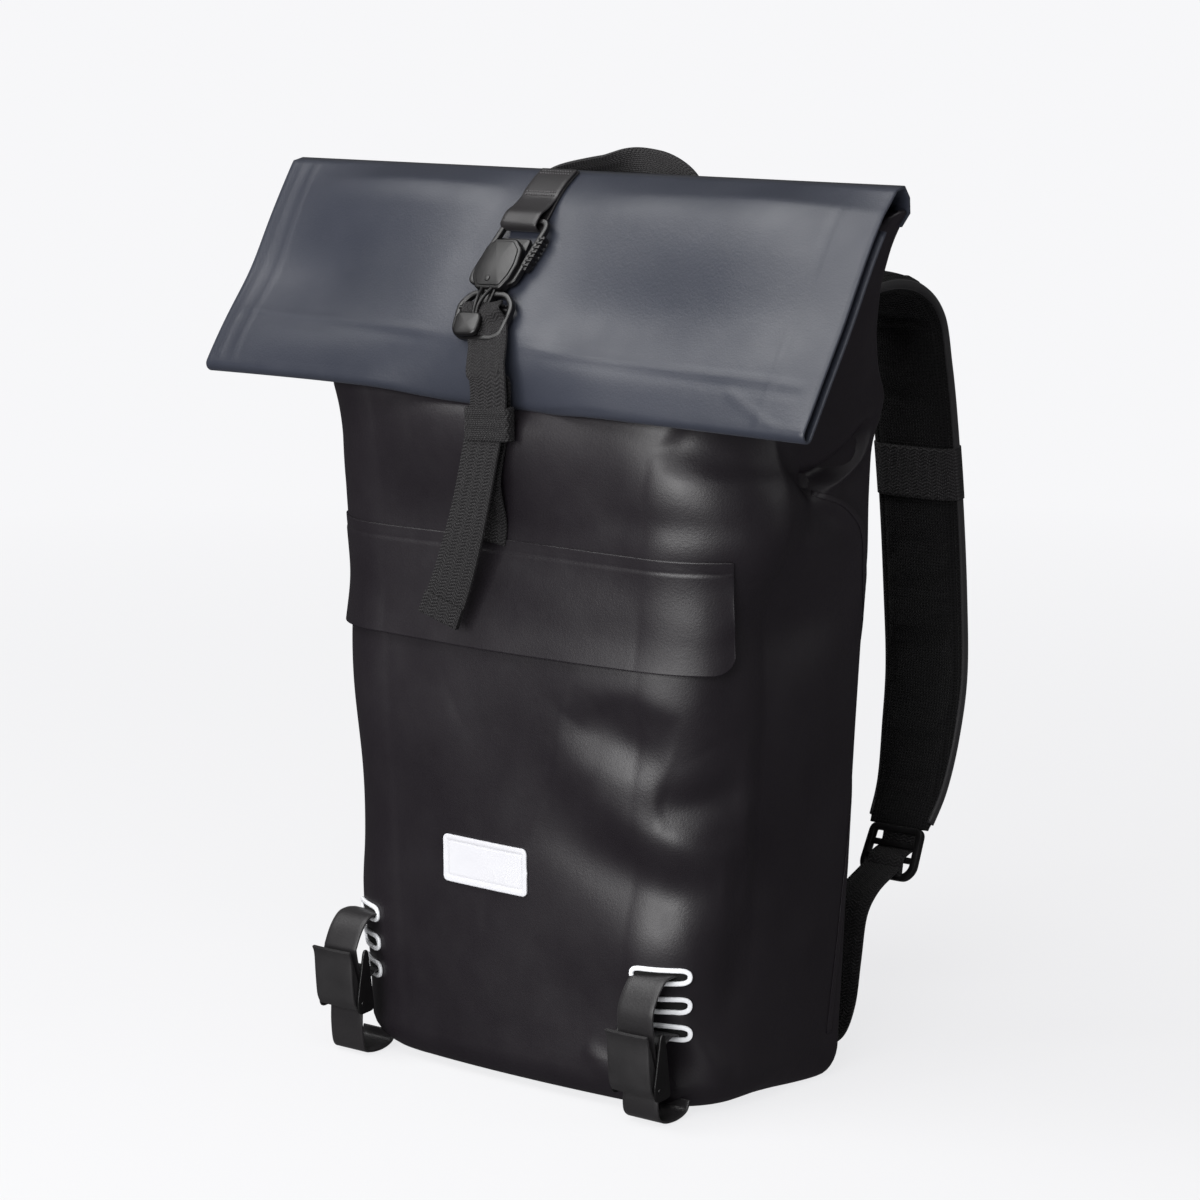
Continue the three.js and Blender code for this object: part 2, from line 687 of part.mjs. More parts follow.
// Curl is how far the tape follows the body's corner, from 0, flat, to 1
function carryRow(side, y, z, curl) {
  const steps = 4;
  const { high } = sectionsRound(slotHeights.middle);
  const across = [];
  for (let k = 0; k <= steps; k++) {
    const x = carryX + carryWidth * (k / steps - 0.5);
    const round = Math.max(0, x - high.halfWidth + high.radius);
    const corner = high.radius - Math.sqrt(high.radius ** 2 - round ** 2);
    across.push([side * x, y + curl * corner, z]);
  }
  return across;
}

function carryTape(side, pinHeight) {
  const half = webbingThick / 2;
  const under = faceY + 10;
  const profile = [
    { y: faceY + 6, z: slotHeights.top, curl: 1.0 },
    { y: faceY - 3, z: slotHeights.top, curl: 1.0 },
    { y: faceY - carryStandOff + 4, z: slotHeights.top - 4, curl: 0.7 },
    { y: faceY - carryStandOff - 1.5, z: slotHeights.top - 14, curl: 0.3 },
    { y: faceY - carryStandOff, z: pinHeight + camBarRise + 4, curl: 0.0 },
    { y: faceY - carryStandOff + 1, z: pinHeight, curl: 0.0 },
    { y: faceY - carryStandOff + 2, z: pinHeight / 2 + 2, curl: 0.0 },
    { y: faceY - carryStandOff + 5, z: 3.6, curl: 0.1 },
    { y: faceY - carryStandOff + 9, z: half + 0.2, curl: 0.3 },
    { y: under - 2, z: half + 0.1, curl: 0.5 },
    { y: under, z: half + 1.0, curl: 0.5 },
    { y: under - 2, z: half + 1.9, curl: 0.5 },
    { y: faceY + 1, z: 6.4, curl: 0.8 },
    { y: faceY - 1.8, z: 15, curl: 1.0 },
    { y: faceY - 2.4, z: slotHeights.bottom - 9, curl: 1.0 },
    { y: faceY - 2.8, z: slotHeights.bottom - 4, curl: 1.0 },
    { y: faceY - 1.5, z: slotHeights.bottom, curl: 1.0 },
    { y: faceY + 6, z: slotHeights.bottom, curl: 1.0 },
  ];
  const rows = profile.map((row, i) => {
    const ahead = profile[Math.min(i + 1, profile.length - 1)];
    const behind = profile[Math.max(i - 1, 0)];
    const out = new THREE.Vector2(behind.z - ahead.z, ahead.y - behind.y).normalize().multiplyScalar(half);
    const near = carryRow(side, row.y + out.x, row.z + out.y, row.curl);
    const far = carryRow(side, row.y - out.x, row.z - out.y, row.curl).reverse();
    return [...near, ...far].map(([x, y, z]) => new THREE.Vector3(x, y, z));
  });
  return skin(rows);
}

const pinY = faceY - carryStandOff + 1 - webbingThick / 2 - gap - 2 * pinRadius;
const camBarY = faceY - carryStandOff + 4.1;

function carryAnchor(side, pinHeight) {
  const bar = new THREE.Vector2(camBarY, pinHeight + camBarRise);
  const radius = pinRadius + gap + anchorThick / 2;
  const layer = (anchorThick + gap) / 2;
  const place = (y, z) => new THREE.Vector3(side * (carryX - 1.5), y, z);
  const path = [place(faceY + 6, slotHeights.middle - layer), place(faceY - 2.5, slotHeights.middle - layer)];
  for (let k = 0; k <= 8; k++) {
    const turn = halfTurn * (0.05 - 1.1 * k / 8);
    path.push(place(bar.x + radius * Math.cos(turn), bar.y + radius * Math.sin(turn)));
  }
  path.push(place(faceY - 4.6, slotHeights.middle + layer), place(faceY + 6, slotHeights.middle + layer));
  return band(path, () => flatRing(anchorWidth, anchorThick));
}

// Cam buckle: two cheeks on a bar, and a lever between them that turns on its own stubs
function acrossCylinder(radius, long, sides = 12) {
  return new THREE.CylinderGeometry(radius, radius, long, sides).rotateZ(halfTurn / 2);
}

function camFrame(side, pinHeight) {
  const inside = carryWidth / 2 + 0.6;
  const depth = 6;
  const outline = roundedRectangle(13, camBarRise + 12, depth - 1);
  const turns = [...Array(12).keys()].map((k) => halfTurn * k / 6);
  const centre = [(pinY + camBarY) / 2, pinHeight + camBarRise / 2];
  const hole = turns.map((turn) => [
    pinY - centre[0] + (pinRadius + gap) * Math.cos(turn),
    pinHeight - centre[1] + (pinRadius + gap) * Math.sin(turn),
  ]);
  const cheeks = [-inside - cheekThick, inside].map((x) => extruded(outline, [hole], cheekThick)
    .applyMatrix4(new THREE.Matrix4().makeBasis(inwardY, new THREE.Vector3(0, 0, 1), acrossX))
    .translate(side * carryX + x, centre[0], centre[1]));
  const bar = acrossCylinder(pinRadius, 2 * inside + cheekThick)
    .translate(side * carryX, camBarY, pinHeight + camBarRise);
  return joined([...cheeks, bar]);
}

function camLever() {
  const width = carryWidth + 0.4;
  const hub = acrossCylinder(2 * pinRadius, width);
  const stubs = acrossCylinder(pinRadius, width + 2 * cheekThick);
  const profile = [[-2 * pinRadius, 0], [-2.4 * pinRadius, leverLong - 5], [-3 * pinRadius - 2, leverLong],
    [-3 * pinRadius - 0.6, leverLong + 1.2], [-2.4 * pinRadius + leverThick, leverLong - 4],
    [-2 * pinRadius + leverThick, 0]];
  const plate = extruded(profile, [], width)
    .applyMatrix4(new THREE.Matrix4().makeBasis(inwardY, new THREE.Vector3(0, 0, 1), acrossX))
    .translate(-width / 2, 0, 0);
  return joined([hub, stubs, plate]);
}

// Shoulder strap from the back panel down to the lock: shares of strapX, strapReach, rimHeight, padWidth, padThick
const padRows = [
  { x: 0.90, reach: 0.00, z: 0.862, width: 0.85, thick: 0.6 },
  { x: 0.92, reach: 0.18, z: 0.884, width: 0.89, thick: 0.9 },
  { x: 0.94, reach: 0.44, z: 0.897, width: 0.93, thick: 1.0 },
  { x: 0.96, reach: 0.64, z: 0.888, width: 0.96, thick: 1.0 },
  { x: 0.98, reach: 0.76, z: 0.856, width: 1.00, thick: 1.0 },
  { x: 1.00, reach: 0.80, z: 0.809, width: 1.00, thick: 1.0 },
  { x: 1.00, reach: 0.85, z: 0.735, width: 1.00, thick: 1.0 },
  { x: 1.00, reach: 0.91, z: 0.630, width: 1.00, thick: 1.0 },
  { x: 1.00, reach: 0.95, z: 0.525, width: 1.00, thick: 1.0 },
  { x: 1.00, reach: 0.97, z: 0.430, width: 0.98, thick: 1.0 },
  { x: 1.00, reach: 0.93, z: 0.357, width: 0.93, thick: 1.0 },
  { x: 1.00, reach: 0.87, z: 0.294, width: 0.83, thick: 0.9 },
  { x: 1.00, reach: 0.78, z: 0.248, width: 0.74, thick: 0.6 },
];

function backAt(z) {
  const { low, high, share } = sectionsRound(z);
  return mix(low.back, high.back, share);
}

function padPath(side) {
  return padRows.map(({ x, reach, z, thick }) => {
    const y = backAt(z * rimHeight) + gap + padThick * thick / 2 + reach * strapReach;
    return new THREE.Vector3(side * x * strapX, y, z * rimHeight);
  });
}

function shoulderPad(side) {
  const curve = new THREE.CatmullRomCurve3(padPath(side));
  const last = padRows.length - 1;
  return band(curve.getPoints(2 * last), (share) => {
    const row = Math.min(Math.floor(share * last), last - 1);
    const within = share * last - row;
    const width = padWidth * mix(padRows[row].width, padRows[row + 1].width, within);
    return padRing(width, padThick * mix(padRows[row].thick, padRows[row + 1].thick, within), 4);
  });
}

function strapSleeve(side) {
  const curve = new THREE.CatmullRomCurve3(padPath(side));
  const middle = 6.6 / (padRows.length - 1);
  const reach = sleeveTall / curve.getLength() / 2;
  const path = [-1, 0, 1].map((step) => curve.getPoint(middle + step * reach));
  return sleeve(path, padWidth + 3 * gap, padThick + 3 * gap, sleeveThick);
}

// The lock hangs from the pad's end in line with it
function lockFrame(side) {
  const path = padPath(side);
  const end = path[path.length - 1];
  const down = new THREE.Vector3().subVectors(end, path[path.length - 2]).normalize();
  const out = new THREE.Vector3().crossVectors(down, acrossX).normalize();
  return { end, down, out };
}

function ladderLock(side) {
  const { end, down, out } = lockFrame(side);
  const window = roundedRectangle(harnessWebbing + 2, 6.5, 1.5);
  const holes = [-7.5, 3.5].map((shift) => shifted(window, 0, shift));
  const basis = new THREE.Matrix4().makeBasis(acrossX, down, out.clone().negate());
  const corner = end.clone().addScaledVector(down, gap + lockLong / 2).addScaledVector(out, lockThick / 2);
  return extruded(roundedRectangle(lockWidth, lockLong, 4), holes, lockThick)
    .applyMatrix4(basis)
    .translate(corner.x, corner.y, corner.z);
}

// Lower webbing: from the back panel's bottom seam, slack behind the bag, up round the lock's middle bar
function lowerWebbing(side) {
  const { end, down, out } = lockFrame(side);
  const onLock = (along, away) => end.clone().addScaledVector(down, gap + along).addScaledVector(out, away);
  const bar = lockLong / 2 - 2;
  const away = lockThick / 2 + gap + webbingThick / 2;
  const half = baseDepth / 2;
  const [slack, lowest] = [0.43 * strapReach, slotHeights.middle + 4];
  const place = (y, z) => new THREE.Vector3(side * strapX, y, z);
  const path = [
    place(half + gap + webbingThick, 0.45 * lowest),
    place(half + gap + webbingThick, 0.26 * lowest),
    place(half + 0.24 * slack, 0.15 * lowest),
    place(half + 0.68 * slack, 0.21 * lowest),
    place(half + 0.92 * slack, 0.52 * lowest),
    place(half + slack, lowest),
    onLock(lockLong + 14, away + 2),
    onLock(bar + 6, away),
    onLock(bar - 4, away),
  ];
  return band(rounded(path, 12, 3), () => flatRing(harnessWebbing, webbingThick));
}

// Grab handle: webbing sewn flat to the back panel at both ends, standing up behind the roll
function grabHandle() {
  const base = rimHeight - 30;
  const y = backAt(base) + gap + webbingThick / 2;
  const lowest = backAt(base - 10) + 4 * gap + webbingThick / 2;
  const points = [
    new THREE.Vector3(-handleHalf, lowest, base - 10),
    new THREE.Vector3(-handleHalf, y + 2, base),
    new THREE.Vector3(-handleHalf * 0.86, y + 8, base + handleRise * 0.6),
    new THREE.Vector3(-handleHalf * 0.45, y + 11, base + handleRise * 0.96),
    new THREE.Vector3(0, y + 11, base + handleRise),
    new THREE.Vector3(handleHalf * 0.45, y + 11, base + handleRise * 0.96),
    new THREE.Vector3(handleHalf * 0.86, y + 8, base + handleRise * 0.6),
    new THREE.Vector3(handleHalf, y + 2, base),
    new THREE.Vector3(handleHalf, lowest, base - 10),
  ];
  const curve = new THREE.CatmullRomCurve3(points);
  const twist = (share) => {
    const lift = Math.min(1, Math.max(0, (Math.min(share, 1 - share) - 0.1) / 0.2));
    const turn = halfTurn / 2 * lift;
    return new THREE.Vector3(Math.cos(turn), Math.sin(turn) * (share < 0.5 ? 1 : -1), 0);
  };
  return band(curve.getPoints(24), () => flatRing(closureWebbing, webbingThick), (share) => (
    share < 0.5 ? twist(share) : twist(share).negate()
  ));
}

const finishes = {
  coated: { color: 0x17161a, roughness: 0.45, metalness: 0 },
  slate: { color: 0x2b3440, roughness: 0.5, metalness: 0 },
  plastic: { color: 0x111114, roughness: 0.35, metalness: 0 },
  webbing: { color: 0x0d0d0f, roughness: 0.85, metalness: 0 },
  padding: { color: 0x121115, roughness: 0.9, metalness: 0 },
  white: { color: 0xe9ebee, roughness: 0.45, metalness: 0 },
};

const bag = new THREE.Group();

function add(name, geometry, finish, group = bag) {
  const mesh = new THREE.Mesh(geometry, new THREE.MeshStandardMaterial(finishes[finish]));
  mesh.name = name;
  group.add(mesh);
  return mesh;
}

add('body_shell', bodyShell(), 'coated');
add('rolltop', rolltop(), 'slate');
add('pocket_flap', pocketFlap(), 'coated');
add('label_patch', labelPatch(), 'white');

const slope = new THREE.Group();
slope.position.copy(onSlope(closureX, 0, rollBulge));
slope.rotation.x = Math.atan2(rollDrop, rollReach);
bag.add(slope);

add('anchor_tape', anchorTape(), 'webbing');
const frameOut = barOut - buckleBar;
const upper = add('buckle_upper', buckleFrame(upperFrameLong, [[2 * buckleBar, 26]], 6), 'plastic', slope);
upper.position.set(0, -upperFrameTop - upperFrameLong / 2, frameOut);
const plate = add('buckle_plate', extruded(octagon(plateWidth, plateLong, 6), [], plateThick), 'plastic', slope);
plate.position.set(0, -lowerFrameTop - 1.5 + plateLong / 2, barOut + buckleBar + gap);
const lowerWindows = [[5, 9], [9 + 2 * buckleBar, 22]];
const lower = add('buckle_lower', buckleFrame(lowerFrameLong, lowerWindows, 7), 'plastic', slope);
lower.position.set(0, -lowerFrameTop - lowerFrameLong / 2, frameOut);
const tab = add('buckle_tab', buckleTab(), 'plastic', slope);
tab.rotation.x = halfTurn / 2;
tab.position.set(0, -lowerFrameTop - lowerFrameLong + tabLong, barOut + buckleBar + gap);
add('closure_strap', band(closurePath(), () => flatRing(closureWebbing, webbingThick)), 'webbing');
add('strap_keeper', strapKeeper(), 'webbing');

for (const [hand, side] of [['right', 1], ['left', -1]]) {
  for (const [level, z] of Object.entries(slotHeights)) {
    add(`slot_rim_${level}_${hand}`, slotRim(side, z), 'white');
  }
  const pinHeight = pinHeights[hand];
  add(`carry_tape_${hand}`, carryTape(side, pinHeight), 'webbing');
  add(`carry_anchor_${hand}`, carryAnchor(side, pinHeight), 'webbing');
  add(`cam_frame_${hand}`, camFrame(side, pinHeight), 'plastic');
  const lever = add(`cam_lever_${hand}`, camLever(), 'plastic');
  lever.position.set(side * carryX, pinY, pinHeight);
  add(`shoulder_pad_${hand}`, shoulderPad(side), 'padding');
  add(`strap_sleeve_${hand}`, strapSleeve(side), 'webbing');
  add(`ladder_lock_${hand}`, ladderLock(side), 'plastic');
  add(`lower_webbing_${hand}`, lowerWebbing(side), 'webbing');
}
add('grab_handle', grabHandle(), 'webbing');

// The origin stands under the middle of the whole backpack
const box = new THREE.Box3().setFromObject(bag);
bag.position.set(-(box.min.x + box.max.x) / 2, -(box.min.y + box.max.y) / 2, -box.min.z);

export default bag;
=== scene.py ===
import math

import bmesh
import bpy
import numpy as np
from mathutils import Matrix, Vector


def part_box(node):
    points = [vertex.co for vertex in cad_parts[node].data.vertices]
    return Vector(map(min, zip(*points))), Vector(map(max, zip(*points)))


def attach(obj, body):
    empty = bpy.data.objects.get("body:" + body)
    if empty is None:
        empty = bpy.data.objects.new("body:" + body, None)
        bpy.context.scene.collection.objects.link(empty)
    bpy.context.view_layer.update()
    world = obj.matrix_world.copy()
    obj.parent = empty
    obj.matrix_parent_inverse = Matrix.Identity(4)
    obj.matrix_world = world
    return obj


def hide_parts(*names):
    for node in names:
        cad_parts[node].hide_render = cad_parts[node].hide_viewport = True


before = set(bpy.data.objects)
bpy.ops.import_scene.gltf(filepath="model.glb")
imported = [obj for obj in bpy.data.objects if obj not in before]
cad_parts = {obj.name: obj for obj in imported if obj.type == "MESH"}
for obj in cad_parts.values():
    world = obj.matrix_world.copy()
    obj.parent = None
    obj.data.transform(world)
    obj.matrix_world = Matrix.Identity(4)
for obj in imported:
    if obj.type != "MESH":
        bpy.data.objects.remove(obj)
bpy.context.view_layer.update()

MM = 0.001
MOUTH_DEPTH = 9.0
SHIFT_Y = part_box("rolltop")[1][1] / MM - MOUTH_DEPTH

# Sizes of the bag
RIM_HEIGHT, TOP_HEIGHT = 476.0, 490.0
HALF_DEPTH = 65.0
FLAT_WIDTH = 420.0
FLOOR_INSET, FLOOR_ROUND = 21.0, 19.0
WALL = 2.0
CORNER_RIGHT, CORNER_LEFT, SEAM_RADIUS = 46.0, 60.0, 4.0

# Sizes of the roll
ROLL_REACH, ROLL_DROP, CREST_BACK = 77.0, 117.0, 2.0
ROLL_BULGE, BULGE_TOP, ROLL_PINCH, PINCH_REACH = 9.0, 32.0, 11.0, 60.0
ROLL_SKEW = 4.5
SLOPE = math.hypot(ROLL_REACH, ROLL_DROP)

# Sizes of the straps
CLOSURE_X = -9.0
WEBBING = 25.0
PAD_GAP = 0.3

# Meshes: places nearer than MERGE metres become one, edges shorter than SLIVER metres go, a sheet's edge has
# EDGE_STEPS points round it, and moulded pieces keep edges sharp that bend by more than SHARP degrees
MERGE, SLIVER = 2e-5, 1e-6
EDGE_STEPS = 3
SHARP = 32


def mix(a, b, t):
    """A straight blend: a where t is 0, b where t is 1."""
    return a + (b - a) * t


def smooth(low, high, value):
    """A step from 0 at low to 1 at high along 3t^2 - 2t^3."""
    t = np.clip((value - low) / (high - low), 0.0, 1.0)
    return t * t * (3.0 - 2.0 * t)


def unit(vectors):
    """Each vector divided by its own length."""
    length = np.linalg.norm(vectors, axis=-1, keepdims=True)
    return vectors / np.maximum(length, 1e-9)


def run_of(path):
    """How far along a path each of its points is: the sum of the steps before it."""
    return np.concatenate([[0.0], np.cumsum(np.linalg.norm(np.diff(path, axis=0), axis=1))])


def circle(count, across, out=None):
    """Points round a circle: its radius times the cosine and the sine of the turn. With out, an ellipse."""
    turn = np.linspace(0, 2 * math.pi, count + 1)[:-1]
    return np.stack([across * np.cos(turn), (across if out is None else out) * np.sin(turn)], -1)


def faces_of(rows, cols, close_rows, close_cols):
    """Quads between neighbours on a grid of points, with either direction closed into a ring."""
    i = np.arange(rows if close_rows else rows - 1)
    j = np.arange(cols if close_cols else cols - 1)
    i, j = np.meshgrid(i, j, indexing="ij")
    i2, j2 = (i + 1) % rows, (j + 1) % cols
    return np.stack([i * cols + j, i * cols + j2, i2 * cols + j2, i2 * cols + j], -1).reshape(-1, 4)


def put(name, grids, material, body="bag", uvs=None, edges=None):
    """One object from grids of points in millimetres. Doubles are merged and faces turned outwards, and edges
    that bend by more than the given degrees stay sharp."""
    verts, quads, coords, base = [], [], [], 0
    for k, (points, close_rows, close_cols) in enumerate(grids):
        rows, cols = points.shape[:2]
        verts.append(points.reshape(-1, 3))
        quads.append(faces_of(rows, cols, close_rows, close_cols) + base)
        if uvs is not None:
            coords.append(uvs[k].reshape(-1, 2))
        base += rows * cols
    places = np.concatenate(verts) * MM
    places[:, 1] += SHIFT_Y * MM
    quads = np.concatenate(quads)
    mesh = bpy.data.meshes.new(name)
    mesh.vertices.add(len(places))
    mesh.vertices.foreach_set("co", places.astype(np.float32).ravel())
    mesh.loops.add(quads.size)
    mesh.loops.foreach_set("vertex_index", quads.astype(np.int32).ravel())
    mesh.polygons.add(len(quads))
    mesh.polygons.foreach_set("loop_start", np.arange(0, quads.size, 4, dtype=np.int32))
    mesh.polygons.foreach_set("loop_total", np.full(len(quads), 4, dtype=np.int32))
    mesh.update(calc_edges=True)
    if uvs is not None:
        layer = mesh.uv_layers.new(name="cloth")
        layer.data.foreach_set("uv", np.concatenate(coords)[quads.ravel()].astype(np.float32).ravel())
    work = bmesh.new()
    work.from_mesh(mesh)
    bmesh.ops.remove_doubles(work, verts=work.verts, dist=MERGE)
    bmesh.ops.dissolve_degenerate(work, edges=work.edges, dist=SLIVER)
    bmesh.ops.recalc_face_normals(work, faces=work.faces)
    work.to_mesh(mesh)
    work.free()
    mesh.polygons.foreach_set("use_smooth", np.full(len(mesh.polygons), True))
    if edges is not None:
        mesh.set_sharp_from_angle(angle=math.radians(edges))
    mesh.update()
    piece = bpy.data.objects.new(name, mesh)
    bpy.context.scene.collection.objects.link(piece)
    mesh.materials.append(material)
    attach(piece, body)
    return piece


def slab(points, thick):
    """A sheet given a thickness: each row becomes a ring of its outer face, a half-round edge, its inner
    face and the other edge, half the thickness square to the sheet. Both ends close on the sheet's first
    and last row."""
    across = np.gradient(points, axis=1)
    down = np.gradient(points, axis=0)
    out = unit(np.cross(down, across))
    side = unit(across)
    half = thick / 2.0
    front, back = points + out * half, points - out * half
    turns = np.linspace(math.pi / 2, -math.pi / 2, EDGE_STEPS + 2)[1:-1]
    right = [points[:, -1:] + out[:, -1:] * half * math.sin(t) + side[:, -1:] * half * math.cos(t)
             for t in turns]
    left = [points[:, :1] - out[:, :1] * half * math.sin(t) - side[:, :1] * half * math.cos(t) for t in turns]
    ring = np.concatenate([front, *right, back[:, ::-1], *left], axis=1)
    first, last = [np.concatenate([row, np.repeat(row[-1:], EDGE_STEPS, 0), row[::-1],
                                   np.repeat(row[:1], EDGE_STEPS, 0)])[None]
                   for row in (points[0], points[-1])]
    return np.concatenate([first, ring, last], axis=0)


def along_of(path):
    """A path's direction at each point: from the point before it to the point after it."""
    return unit(np.gradient(path, axis=0))


def sweep(path, section, side=(1.0, 0.0, 0.0)):
    """A section of [across, out] points carried along a path: across lies along side, out is square to
    both."""
    along = along_of(path)
    side = np.broadcast_to(np.asarray(side, float), path.shape)
    out = unit(np.cross(along, side))
    side = unit(np.cross(out, along))
    section = np.broadcast_to(np.asarray(section, float), (len(path),) + np.shape(section)[-2:])
    return path[:, None] + side[:, None] * section[..., :1] + out[:, None] * section[..., 1:]


def capped(rows):
    """Rings with each end drawn to its middle."""
    first = np.repeat(rows[:1].mean(axis=1, keepdims=True), rows.shape[1], 1)
    last = np.repeat(rows[-1:].mean(axis=1, keepdims=True), rows.shape[1], 1)
    return np.concatenate([first, rows, last], axis=0)


def tape_section(width, thick, steps=10):
    """A flat band's section with half-round selvedges, points spread over its width."""
    half, round_ = width / 2.0, thick / 2.0
    top = np.linspace(-half + round_, half - round_, steps)
    turns = np.linspace(math.pi / 2, -math.pi / 2, 5)[1:-1]
    right = np.stack([half - round_ + round_ * np.cos(turns), round_ * np.sin(turns)], -1)
    upper = np.stack([top, np.full(steps, round_)], -1)
    lower = np.stack([top[::-1], np.full(steps, -round_)], -1)
    return np.concatenate([upper, right, lower, -right])


def curved(rows, steps=24):
    """The rows of a table joined by a Catmull-Rom curve, column by column, with the given steps between
    two."""
    rows = np.asarray(rows, float)
    padded = np.concatenate([2 * rows[:1] - rows[1:2], rows, 2 * rows[-1:] - rows[-2:-1]])
    t = np.linspace(0, 1, steps, endpoint=False)[:, None]
    parts = [0.5 * ((2 * b) + (c - a) * t + (2 * a - 5 * b + 4 * c - d) * t ** 2
                    + (3 * b - a - 3 * c + d) * t ** 3)
             for a, b, c, d in zip(padded[:-3], padded[1:-2], padded[2:-1], padded[3:])]
    return np.concatenate(parts + [rows[-1:]])


def even(dense, count):
    """Rows read again at equal steps of length, with the length taken over their first three columns."""
    length = run_of(dense[:, :3])
    want = np.linspace(0, length[-1], count)
    return np.stack([np.interp(want, length, column) for column in dense.T], -1)


def smooth_path(points, count):
    """Points joined by a Catmull-Rom curve, then spaced evenly along it."""
    return even(curved(points), count)


def in_plane(x, places):
    """Places [y, z] in the upright plane at x."""
    return [(x, y, z) for y, z in places]


def ring_map(rows, across, along):
    """A map for a tube of rings: how far across its section a point is, then how far along its path."""
    shape = rows.shape[:2]
    return np.stack([np.broadcast_to(across, shape), np.broadcast_to(along[:, None], shape)], -1)


def tape(name, path, width, material, thick, side=(1.0, 0.0, 0.0)):
    """A length of webbing along a path, with its own map in millimetres: across, then along."""
    section = tape_section(width, thick)
    rows = capped(sweep(path, section, side))
    run = run_of(path)
    uv = ring_map(rows, section[:, 0], np.concatenate([[0.0], run, [run[-1]]]))
    return put(name, [(rows, False, True)], material, uvs=[uv])


# Materials

def nodes_of(name):
    """A material whose tree holds one shader and its output."""
    material = bpy.data.materials.new(name)
    material.use_nodes = True
    tree = material.node_tree
    tree.nodes.clear()
    shader = tree.nodes.new("ShaderNodeBsdfPrincipled")
    output = tree.nodes.new("ShaderNodeOutputMaterial")
    tree.links.new(shader.outputs[0], output.inputs[0])
    return material, tree, shader


def feed(tree, made, inputs):
    """Each named socket of a node is linked to another node's output, or its own constant is set."""
    for key, value in inputs.items():
        if isinstance(value, bpy.types.NodeSocket):
            tree.links.new(value, made.inputs[key])
        else:
            made.inputs[key].default_value = value


def node(tree, kind, inputs=None, **settings):
    """A new node of one kind, with its settings and its sockets."""
    made = tree.nodes.new(kind)
    for key, value in settings.items():
        setattr(made, key, value)
    feed(tree, made, inputs or {})
    return made


def place_on(tree):
    """The place on the piece, in metres."""
    return node(tree, "ShaderNodeTexCoord").outputs["Object"]


def map_of(tree):
    """The piece's own map: millimetres across, then along."""
    return node(tree, "ShaderNodeUVMap", uv_map="cloth").outputs["UV"]


def noise(tree, where, scale, detail, rough):
    """Soft noise round a half: scale gives how fine it is, detail how many finer layers are added, and
    rough how strong each of them is."""
    return node(tree, "ShaderNodeTexNoise", {"Vector": where, "Scale": scale, "Detail": detail,
                                             "Roughness": rough}).outputs["Fac"]


def ranged(tree, value, low, high, to_low, to_high):
    """A value carried from one range to another along a straight line, and held at both ends."""
    made = node(tree, "ShaderNodeMapRange", {"Value": value, "From Min": low, "From Max": high,
                                             "To Min": to_low, "To Max": to_high})
    return made.outputs["Result"]


def maths(tree, kind, a, b=0.0, c=0.0):
    """One sum on up to three values, such as ADD or SINE."""
    return node(tree, "ShaderNodeMath", {0: a, 1: b, 2: c}, operation=kind).outputs[0]


def tinted(tree, value, dark, light):
    """A straight blend of two colours: dark where the value is 0, light where it is 1."""
    made = node(tree, "ShaderNodeMix", {"Factor": value}, data_type="RGBA")
    made.inputs["A"].default_value = (*dark, 1.0)
    made.inputs["B"].default_value = (*light, 1.0)
    return made.outputs["Result"]


def bumped(tree, shader, layers):
    """Bump layers of (height, strength, distance in metres), laid one on another."""
    normal = None
    for height, strength, distance in layers:
        values = {"Height": height, "Strength": strength, "Distance": distance}
        if normal is not None:
            values["Normal"] = normal
        normal = node(tree, "ShaderNodeBump", values).outputs["Normal"]
    tree.links.new(normal, shader.inputs["Normal"])


def coated_fabric(name, dark, light, rough, sheen):
    """Coated fabric: colour drifts a little, gloss varies in soft clouds, and a fine grain and creases
    raise it."""
    material, tree, shader = nodes_of(name)
    where = place_on(tree)
    cloud = noise(tree, where, 9.0, 4.0, 0.55)
    fine = noise(tree, where, 620.0, 2.0, 0.6)
    scuff = noise(tree, where, 38.0, 5.0, 0.62)
    gloss = maths(tree, "ADD", ranged(tree, cloud, 0.3, 0.7, *rough),
                  ranged(tree, scuff, 0.35, 0.75, -0.03, 0.06))
    feed(tree, shader, {"Base Color": tinted(tree, ranged(tree, cloud, 0.3, 0.7, 0.0, 1.0), dark, light),
                        "Roughness": gloss, "Specular IOR Level": 0.5,
                        "Sheen Weight": sheen, "Sheen Roughness": 0.55})
    grain = node(tree, "ShaderNodeTexVoronoi", {"Vector": where, "Scale": 900.0}).outputs["Distance"]
    crease = noise(tree, where, 26.0, 3.0, 0.5)
    bumped(tree, shader, [(crease, 0.10, 0.004), (grain, 0.16, 0.0002), (fine, 0.22, 0.00025)])
    return material


